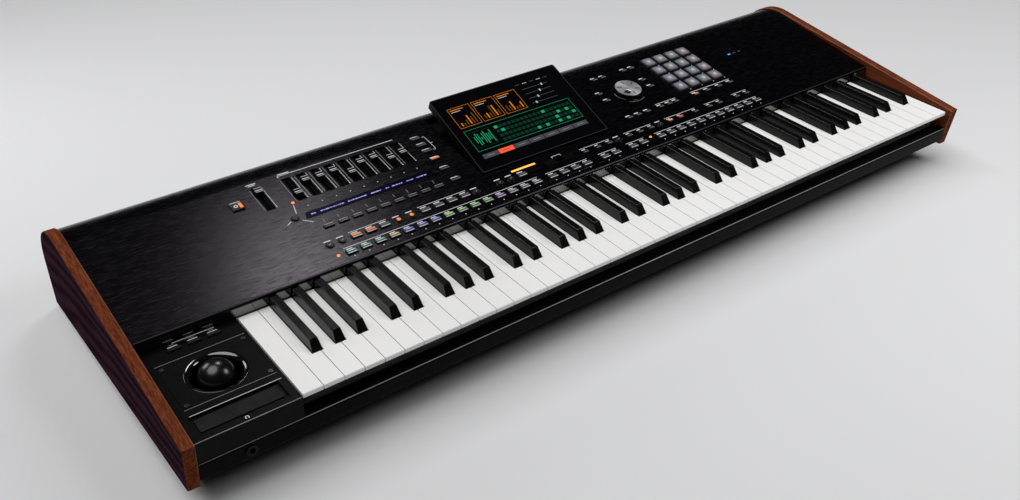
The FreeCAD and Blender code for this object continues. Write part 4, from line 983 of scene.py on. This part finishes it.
def dial_details(gloss):
    """Six dark dashes near the rim, and a glossy skin in the finger dimple."""
    inner, outer, width = 9.6, 17.0, 1.6
    angle = np.radians(np.arange(0, 360, 60) + 30.0)
    ends = []
    for radius in (outer, inner):
        corners = []
        for side, lift in ((-1, -sunk), (1, -sunk), (1, print_height), (-1, print_height)):
            u = dial_u + radius * np.cos(angle) - side * width / 2 * np.sin(angle)
            v = dial_up + radius * np.sin(angle) + side * width / 2 * np.cos(angle)
            corners.append(np.stack([u, v, np.full_like(u, dial_top(radius) + lift)], axis=-1))
        ends.append(np.stack(corners, axis=1))
    dashes = skins(panel, np.stack(ends, axis=1), near_black)
    add_piece("dial_dashes", "dial", [dashes], tinted("dark_ink", 0.0, 0.4))
    share = np.linspace(0.0, 1.0, 9)[1:]
    ball = (dimple_radius ** 2 + dimple_depth ** 2) / (2 * dimple_depth)
    floor = dial_lift + dial_height - dial_crown * dimple_share - dimple_depth
    profile = [(r, floor + ball - math.sqrt(ball * ball - r * r) + skin)
               for r in share * (dimple_radius - 0.15)]
    low = [(r, h - 0.04) for r, h in profile[::-1]]
    bearing = math.radians(dimple_bearing)
    reach = dial_radius * dimple_share
    place = [(dial_u + reach * math.cos(bearing), dial_up + reach * math.sin(bearing))]
    dish = turned_forms(panel, place, low + profile, 40)
    add_piece("dial_dimple", "dial", [dish], gloss, smooth=True)


def fader_bars():
    """Three pale bars across each fader cap, the middle one brightest."""
    material = tinted("cap_bar", 0.0, 0.35)
    crest = cap_length / 2 * cap_top_share
    top = cap_lift + cap_height
    dip = top - cap_height * (1 - cap_top_share) / 2
    names = ["fader_cap_single"] + ["fader_cap_%d" % (i + 1) for i in range(fader_count)]
    for name, u in zip(names, fader_us()):
        joint = joints[name.replace("_cap", "") + "_slide"]
        low, high = joint["range_m"]
        rest = fader_up + (-low / (high - low) - 0.5) * fader_travel
        middle = [(u, rest, cap_bar, 1.0)]
        sides = [(u, rest + crest, cap_bar, 0.9), (u, rest - crest, cap_bar, 0.9)]
        parts = [plates(panel, middle, dip - 0.3, dip + 0.3, 0.1, (0.85, 0.85, 0.85)),
                 plates(panel, sides, top - 0.4, top + 0.1, 0.1, (0.48, 0.48, 0.49))]
        add_piece(name + "_bars", name, parts, material)


def strip_picture():
    """Marks of the strip display: rows of short lit bars over a deep blue ground."""
    rng = np.random.default_rng(7)
    first, last, up, lift = 142.0, 302.0, 95.9, 0.3
    ground = [((first + last) / 2, up, last - first + 4.0, 5.4)]
    rows = []
    u = first
    while u < last:
        width = rng.uniform(1.0, 4.2)
        rows.append((u + width / 2, up - 0.2, width, rng.uniform(1.0, 2.0)))
        u += width + (rng.uniform(4.0, 7.0) if rng.random() < 0.22 else rng.uniform(0.6, 1.2))
    parts = [plates(panel, ground, lift - sunk, lift + 0.02, 0.005, (0.0010, 0.0008, 0.016)),
             plates(panel, rows, lift, lift + 0.05, 0.01, (0.26, 0.24, 0.55))]
    add_piece("strip_picture", "case", parts, tinted("lit_strip", 0.9, 0.3, 0.03))


# Display picture

def frame_rows(u0, v0, u1, v1, width):
    """Outline of a rectangle as four lines."""
    return [segment((u0, v0), (u1, v0), width), segment((u0, v1), (u1, v1), width),
            segment((u0, v0), (u0, v1), width), segment((u1, v0), (u1, v1), width)]


def display_picture():
    """A made-up screen: tiles with level bars, a panel with a step grid, and a row of tabs."""
    rng = np.random.default_rng(11)
    left, right, low = 15.0, 190.0, 19.0
    line = 0.45
    rows, tints = [], []

    def draw(new_rows, tint):
        rows.extend(new_rows)
        tints.extend([tint] * len(new_rows))

    tabs = 7
    tab = (right - left) / tabs
    for i in range(tabs):
        middle = left + (i + 0.5) * tab
        draw([(middle, low + 4.0, tab - 1.2, 7.4)], screen_red if i == 1 else screen_grey)
        draw([(middle, low + 4.0, tab * 0.45, 0.9)], tab_dark if i == 1 else tab_pale)
    draw(frame_rows(left, 33.0, right, 70.0, line), screen_green)
    columns, lines = 18, 4
    for i in range(columns):
        for k in range(lines):
            place = (left + 46.0 + i * 7.2, 39.0 + k * 7.6, 5.6, 4.6)
            draw([place], screen_green if rng.random() < 0.12 else dim_green)
    draw(frame_rows(left + 5.0, 38.0, left + 36.0, 65.0, line), dim_green)
    for i in range(9):
        tall = 4.0 + 18.0 * abs(math.sin(0.9 * i + 0.4))
        draw([(left + 8.0 + i * 3.2, 51.5, 1.2, tall)], screen_green)
    tiles, width = 3, 34.0
    for i in range(tiles):
        u0 = left + i * (width + 4.0)
        draw(frame_rows(u0, 76.0, u0 + width, 112.0, line), screen_orange)
        draw([(u0 + width * 0.38, 108.4, width * 0.6, 1.2)], screen_orange)
        draw([(u0 + width * 0.3, 105.0, width * 0.42, 0.9)], screen_white)
        for k in range(6):
            tall = 4.0 + 16.0 * rng.random()
            bar = (u0 + 6.0 + k * 4.6, 79.0 + tall / 2, 1.8, tall)
            draw([bar], screen_orange if k % 3 == i else dim_orange)
    for i in range(4):
        draw([(left + 143.0, 80.0 + i * 9.0, 44.0, 0.7)], screen_grey)
        draw([(left + 128.0 + 9.0 * ((i * 5) % 4), 80.0 + i * 9.0, 2.4, 3.6)], screen_white)
    for i in range(5):
        draw([(left + 120.0 + i * 12.0, 117.0, 7.0, 0.9)], screen_white if i % 2 else screen_grey)
    order = np.linspace(0.02, 0.06, len(rows))
    parts = [plates(display, [row], -sunk, h, 0.005, tint) for row, tint, h in zip(rows, tints, order)]
    add_piece("display_picture", "display", parts, tinted("lit_picture", 0.8, 0.25, 0.1))
    edge = 1.0
    border = frame_rows(edge, edge, display_width - edge, display_length - edge, 0.6)
    parts = [plates(display, border, -sunk, 0.04, 0.01, (0.05, 0.05, 0.055))]
    add_piece("display_border", "display", parts, tinted("pale_edge", 0.0, 0.25))


# Control block

def node_box(name):
    """Low and high corners of a node's box, in mm."""
    return (np.array(corner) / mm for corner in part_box(name))


def block_details(finish):
    """Dish with a lip that steepens evenly towards the ball, ball skin, painted highlights along the front
    edge of the block and the bend of the rail, printed lines and symbol."""
    fall = np.radians(np.linspace(2.0, 54.0, 20))
    run = lip_length / len(fall)
    across = dish_rim + 1.8 - np.cumsum(np.cos(fall)) * run
    rim = np.column_stack([across, 0.25 - np.cumsum(np.sin(fall)) * run]).tolist()
    inner = [(dish_rim + 2.1, -0.1), (dish_rim + 1.8, 0.25)] + rim + [(across[-1], -dish_depth * 0.6)]
    outer = [(r + 0.05, h - 0.02) for r, h in inner[::-1]]
    dish = open_ring(block, [plate_middle], inner + outer[:-1], 96)
    add_piece("joystick_dish", "case", [dish], finish["dish"], smooth=True)
    angle = np.linspace(-math.asin(ball_cut / ball_radius) + 0.02, math.pi / 2 - 0.01, 40)
    radius = ball_radius + skin
    ball = [(radius * math.cos(a), radius * math.sin(a) - ball_drop) for a in angle]
    ball = turned_forms(block, [plate_middle], ball, 96)
    add_piece("joystick_skin", "stick", [ball], finish["ball"], smooth=True)
    low, high = node_box("control_block")
    # The pale bands on the block's front edge and on the rail's bend are painted highlights
    edge_highlight = tinted("painted_edge_highlight", 0.0, 0.25)
    middle = (low[1] + block_edge, high[2] - block_edge)
    edge = bend_band(low[0] + 0.4, high[0] - block_edge, middle, block_edge, 28, 62, (0.30, 0.30, 0.32))
    add_piece("block_edge_highlight", "case", [edge], edge_highlight, smooth=True)
    low, high = node_box("front_rail")
    middle = (low[1] + rail_bend, high[2] - rail_bend)
    rail_highlight = bend_band(low[0] + 0.4, high[0] - 0.4, middle, rail_bend, 42, 57, (0.34, 0.34, 0.36))
    add_piece("rail_bend_highlight", "case", [rail_highlight], edge_highlight, smooth=True)
    u, v = plate_middle
    bright = [(u, block_line_up, 96.0, 0.7), (u + 4.0, block_title_up, 46.0, 1.2)]
    dim = [(u, up, 97.0, 0.5) for up in plate_line_ups]
    for i in (-1, 0, 1):
        bright.append((u + 1.0 + i * switch_pitch, switch_caption_up, 11.0, 1.1))
        dim.append((u + 1.0 + i * switch_pitch, switch_mark_up, 6.0, 0.8))
    ears = [(headphone_mark[0] + side * 1.4, headphone_mark[1] - 1.2) for side in (-1, 1)]
    parts = [ink(block, bright, block_print), ink(block, dim, dim_print_and_lip_highlight),
             ribbon(block, arc(headphone_mark, 1.7, -40.0, 220.0), 0.7, print_height, white_print_and_lip_highlight),
             dots(block, ears, 0.65, print_height, white_print_and_lip_highlight, 12)]
    add_piece("block_prints", "case", parts, tinted("block_ink", 0.0, 0.35))


def flange_skin():
    """Glossy lacquer on the flange behind the keys, one thin plate from end to end, and a painted highlight
    line on the bend above it, whose middle lies one bend radius inside both the flange and the sloped
    panel."""
    low, high = node_box("top_panel")
    bottom, top = flange_heights
    row = [(0.0, (bottom + top) / 2, high[0] - low[0] - 1.0, top - bottom)]
    lacquer = grained("flange_lacquer", (0.004, 0.0038, 0.004), (0.006, 0.0058, 0.006),
                      (0.08, 0.14), 260.0, strength=0.03, specular=0.9)
    lacquer.node_tree.nodes["Principled BSDF"].inputs["IOR"].default_value = 1.8
    add_piece("flange_skin", "case", [plates(flange, row, -sunk, skin, 0.02)], lacquer)
    out = panel[3]
    middle = (low[1] + panel_bend, panel[0][2] / mm - panel_bend * (1.0 + out[1]) / out[2])
    # The pale band on the panel's front bend is a painted highlight
    fold_highlight = bend_band(low[0] + 0.4, high[0] - 0.4, middle, panel_bend, 46, 66, (0.045, 0.043, 0.047))
    add_piece("panel_fold_highlight", "case", [fold_highlight], tinted("painted_fold_highlight", 0.0, 0.3), smooth=True)


def screw_recesses():
    """Cross recesses in the screw heads: two bars across each head, painted dark as the shade in a recess.
    """
    u, v = plate_middle
    heads = [(block, u + a * plate_screw_reach[0], v + b * plate_screw_reach[1])
             for a in (-1, 1) for b in (-1, 1)]
    heads += [(rear, -x, rear_screw_height) for x in rear_screws]
    heads += [(base, x, -y) for x in base_screws_across for y in base_screws_back]
    parts = []
    for number, (face, a, b) in enumerate(heads):
        rows = [(a, b, 2.8, 0.7, 0.5 * number + turn) for turn in (0.0, math.pi / 2)]
        # Near-black bars: painted shade standing for the cross recess
        parts.append(plates(face, rows, screw_head - sunk, screw_head + 0.03, 0.01, (0.005, 0.005, 0.005)))
    add_piece("screw_recesses", "case", parts, tinted("painted_recess_shade", 0.0, 0.6))


# Rear sockets

def rear_details(finish):
    """Contacts in the sockets at the back, washers on the jacks, and the lines and marks printed beside
    them."""
    jacks = [(-x, socket_height) for x in rear_jacks]
    rounds = [(-x, socket_height) for x in din_sockets]
    low, high = jack_nut_height - sunk, jack_nut_height + 0.15
    washers = open_ring(rear, jacks, ((3.5, low), (4.9, low), (4.8, high), (3.6, high)), 32)
    add_piece("jack_washers", "case", [washers], finish["steel"], smooth=False)
    parts = [open_ring(rear, rounds, ((7.1, -9.5), (7.6, -9.5), (7.6, -0.4), (7.1, -0.4)), 40)]
    for x in usb_sockets:
        rows = frame_rows(-x - 6.2, socket_height - 2.4, -x + 6.2, socket_height + 2.4, 0.5)
        parts.append(plates(rear, rows, -11.0, -0.3, 0.05))
    pins = [(-inlet_at + across, socket_height + up, 2.0, 4.0)
            for across, up in ((-7.0, -2.0), (7.0, -2.0), (0.0, 2.0))]
    parts.append(plates(rear, pins, -16.8, -3.0, 0.4))
    add_piece("socket_metal", "case", parts, finish["steel"])
    core = ((6.4, -11.8), (6.4, -2.2), (6.0, -1.8), (0.3, -1.8))
    hole = ((0.8, -2.0), (0.8, -1.74), (0.1, -1.74))
    spread = np.radians((0.0, 45.0, 90.0, 135.0, 180.0))
    holes = [(u + 4.0 * math.cos(a), v - 4.0 * math.sin(a)) for u, v in rounds for a in spread]
    tongues = [(-x, socket_height + 0.9, 11.0, 1.8) for x in usb_sockets]
    cores = [turned_forms(rear, rounds, core, 40, (0.02, 0.02, 0.022)),
             turned_forms(rear, holes, hole, 14, (0.30, 0.27, 0.18)),
             plates(rear, tongues, -12.8, -0.8, 0.2, (0.35, 0.35, 0.36))]
    add_piece("socket_cores", "case", cores, tinted("socket_core", 0.0, 0.4))
    marks = [(rocker_mark_across, socket_height + rocker_mark_out, 0.7, 3.6)]
    for group in (rear_jacks, din_sockets, usb_sockets):
        first, last = -group[0] + 9.0, -group[-1] - 9.0
        marks.append(segment((first, rear_line_height), (last, rear_line_height), 0.6))
        marks += [(-x, rear_mark_height, 6.0, 0.9) for x in group]
    circle = arc((rocker_mark_across, socket_height - rocker_mark_out), 1.6, 0.0, 352.0)
    parts = [ink(rear, marks, white_print_and_lip_highlight), ribbon(rear, circle, 0.6, print_height, white_print_and_lip_highlight)]
    add_piece("rear_prints", "case", parts, tinted("rear_ink", 0.0, 0.4))


# Floor, light and camera

camera_place = (-0.782, -0.9298, 0.7865)
camera_heading = 37.46
camera_drop = 34.296
camera_roll = 1.17
focal_share = 1053.62 / 1020


def add_camera():
    """Camera at the place, heading and drop of the view, with a long edge of 36 mm."""
    data = bpy.data.cameras.new("camera")
    data.sensor_width = 36.0
    data.lens = data.sensor_width * focal_share
    data.clip_end = 50.0
    camera = bpy.data.objects.new("camera", data)
    heading = Matrix.Rotation(math.radians(-camera_heading), 4, "Z")
    drop = Matrix.Rotation(math.radians(90.0 - camera_drop), 4, "X")
    roll = Matrix.Rotation(math.radians(camera_roll), 4, "Z")
    camera.matrix_world = Matrix.Translation(camera_place) @ heading @ drop @ roll
    bpy.context.scene.collection.objects.link(camera)
    bpy.context.scene.camera = camera


def add_lamp(name, place, target, size, power):
    """Soft round lamp that faces its target."""
    data = bpy.data.lights.new(name, "AREA")
    data.shape = "DISK"
    data.size = size
    data.energy = power
    lamp = bpy.data.objects.new(name, data)
    aim = Vector(target) - Vector(place)
    lamp.matrix_world = Matrix.Translation(place) @ aim.to_track_quat("-Z", "Y").to_matrix().to_4x4()
    bpy.context.scene.collection.objects.link(lamp)


def add_sun(name, aim, strength, spread):
    """Even light from one side of the room, as soft as its spread in degrees."""
    data = bpy.data.lights.new(name, "SUN")
    data.energy = strength
    data.angle = math.radians(spread)
    lamp = bpy.data.objects.new(name, data)
    lamp.matrix_world = Vector(aim).to_track_quat("-Z", "Y").to_matrix().to_4x4()
    bpy.context.scene.collection.objects.link(lamp)


def add_studio():
    """Pale floor, pale world, soft room light and three soft lamps."""
    reach = 60.0
    mesh = bpy.data.meshes.new("floor")
    corners = [(-reach, -reach, 0.0), (reach, -reach, 0.0), (reach, reach, 0.0), (-reach, reach, 0.0)]
    mesh.from_pydata(corners, [], [(0, 1, 2, 3)])
    look = Look("pale_floor", 0.8, specular=0.2)
    look.surface({"Base Color": (0.72, 0.72, 0.73, 1.0)})
    mesh.materials.append(look.material)
    floor = bpy.data.objects.new("floor", mesh)
    bpy.context.scene.collection.objects.link(floor)
    world = bpy.data.worlds.new("studio")
    world.use_nodes = True
    world.node_tree.nodes["Background"].inputs["Color"].default_value = (0.9, 0.92, 0.95, 1.0)
    world.node_tree.nodes["Background"].inputs["Strength"].default_value = 0.02
    bpy.context.scene.world = world
    add_sun("room_light", (0.30, -0.12, -1.0), 1.95, 50.0)
    add_lamp("key_lamp", (0.9, -0.8, 1.2), (0.2, -0.1, 0.1), 0.7, 8.0)
    add_lamp("sheen_lamp", (0.01, 0.575, 1.10), (-0.39, -0.02, 0.11), 0.3, 2.5)
    add_lamp("rim_lamp", (-0.9, 0.95, 0.6), (-0.5, 0.0, 0.1), 0.5, 2.5)


bpy.context.scene.view_settings.view_transform = "Standard"
add_camera()
add_studio()
finish = finish_nodes()
button_lenses()
panel_prints()
panel_lamps()
control_rims(finish["gloss"])
pad_tops()
dial_details(finish["gloss"])
fader_bars()
strip_picture()
display_picture()
block_details(finish)
flange_skin()
screw_recesses()
rear_details(finish)
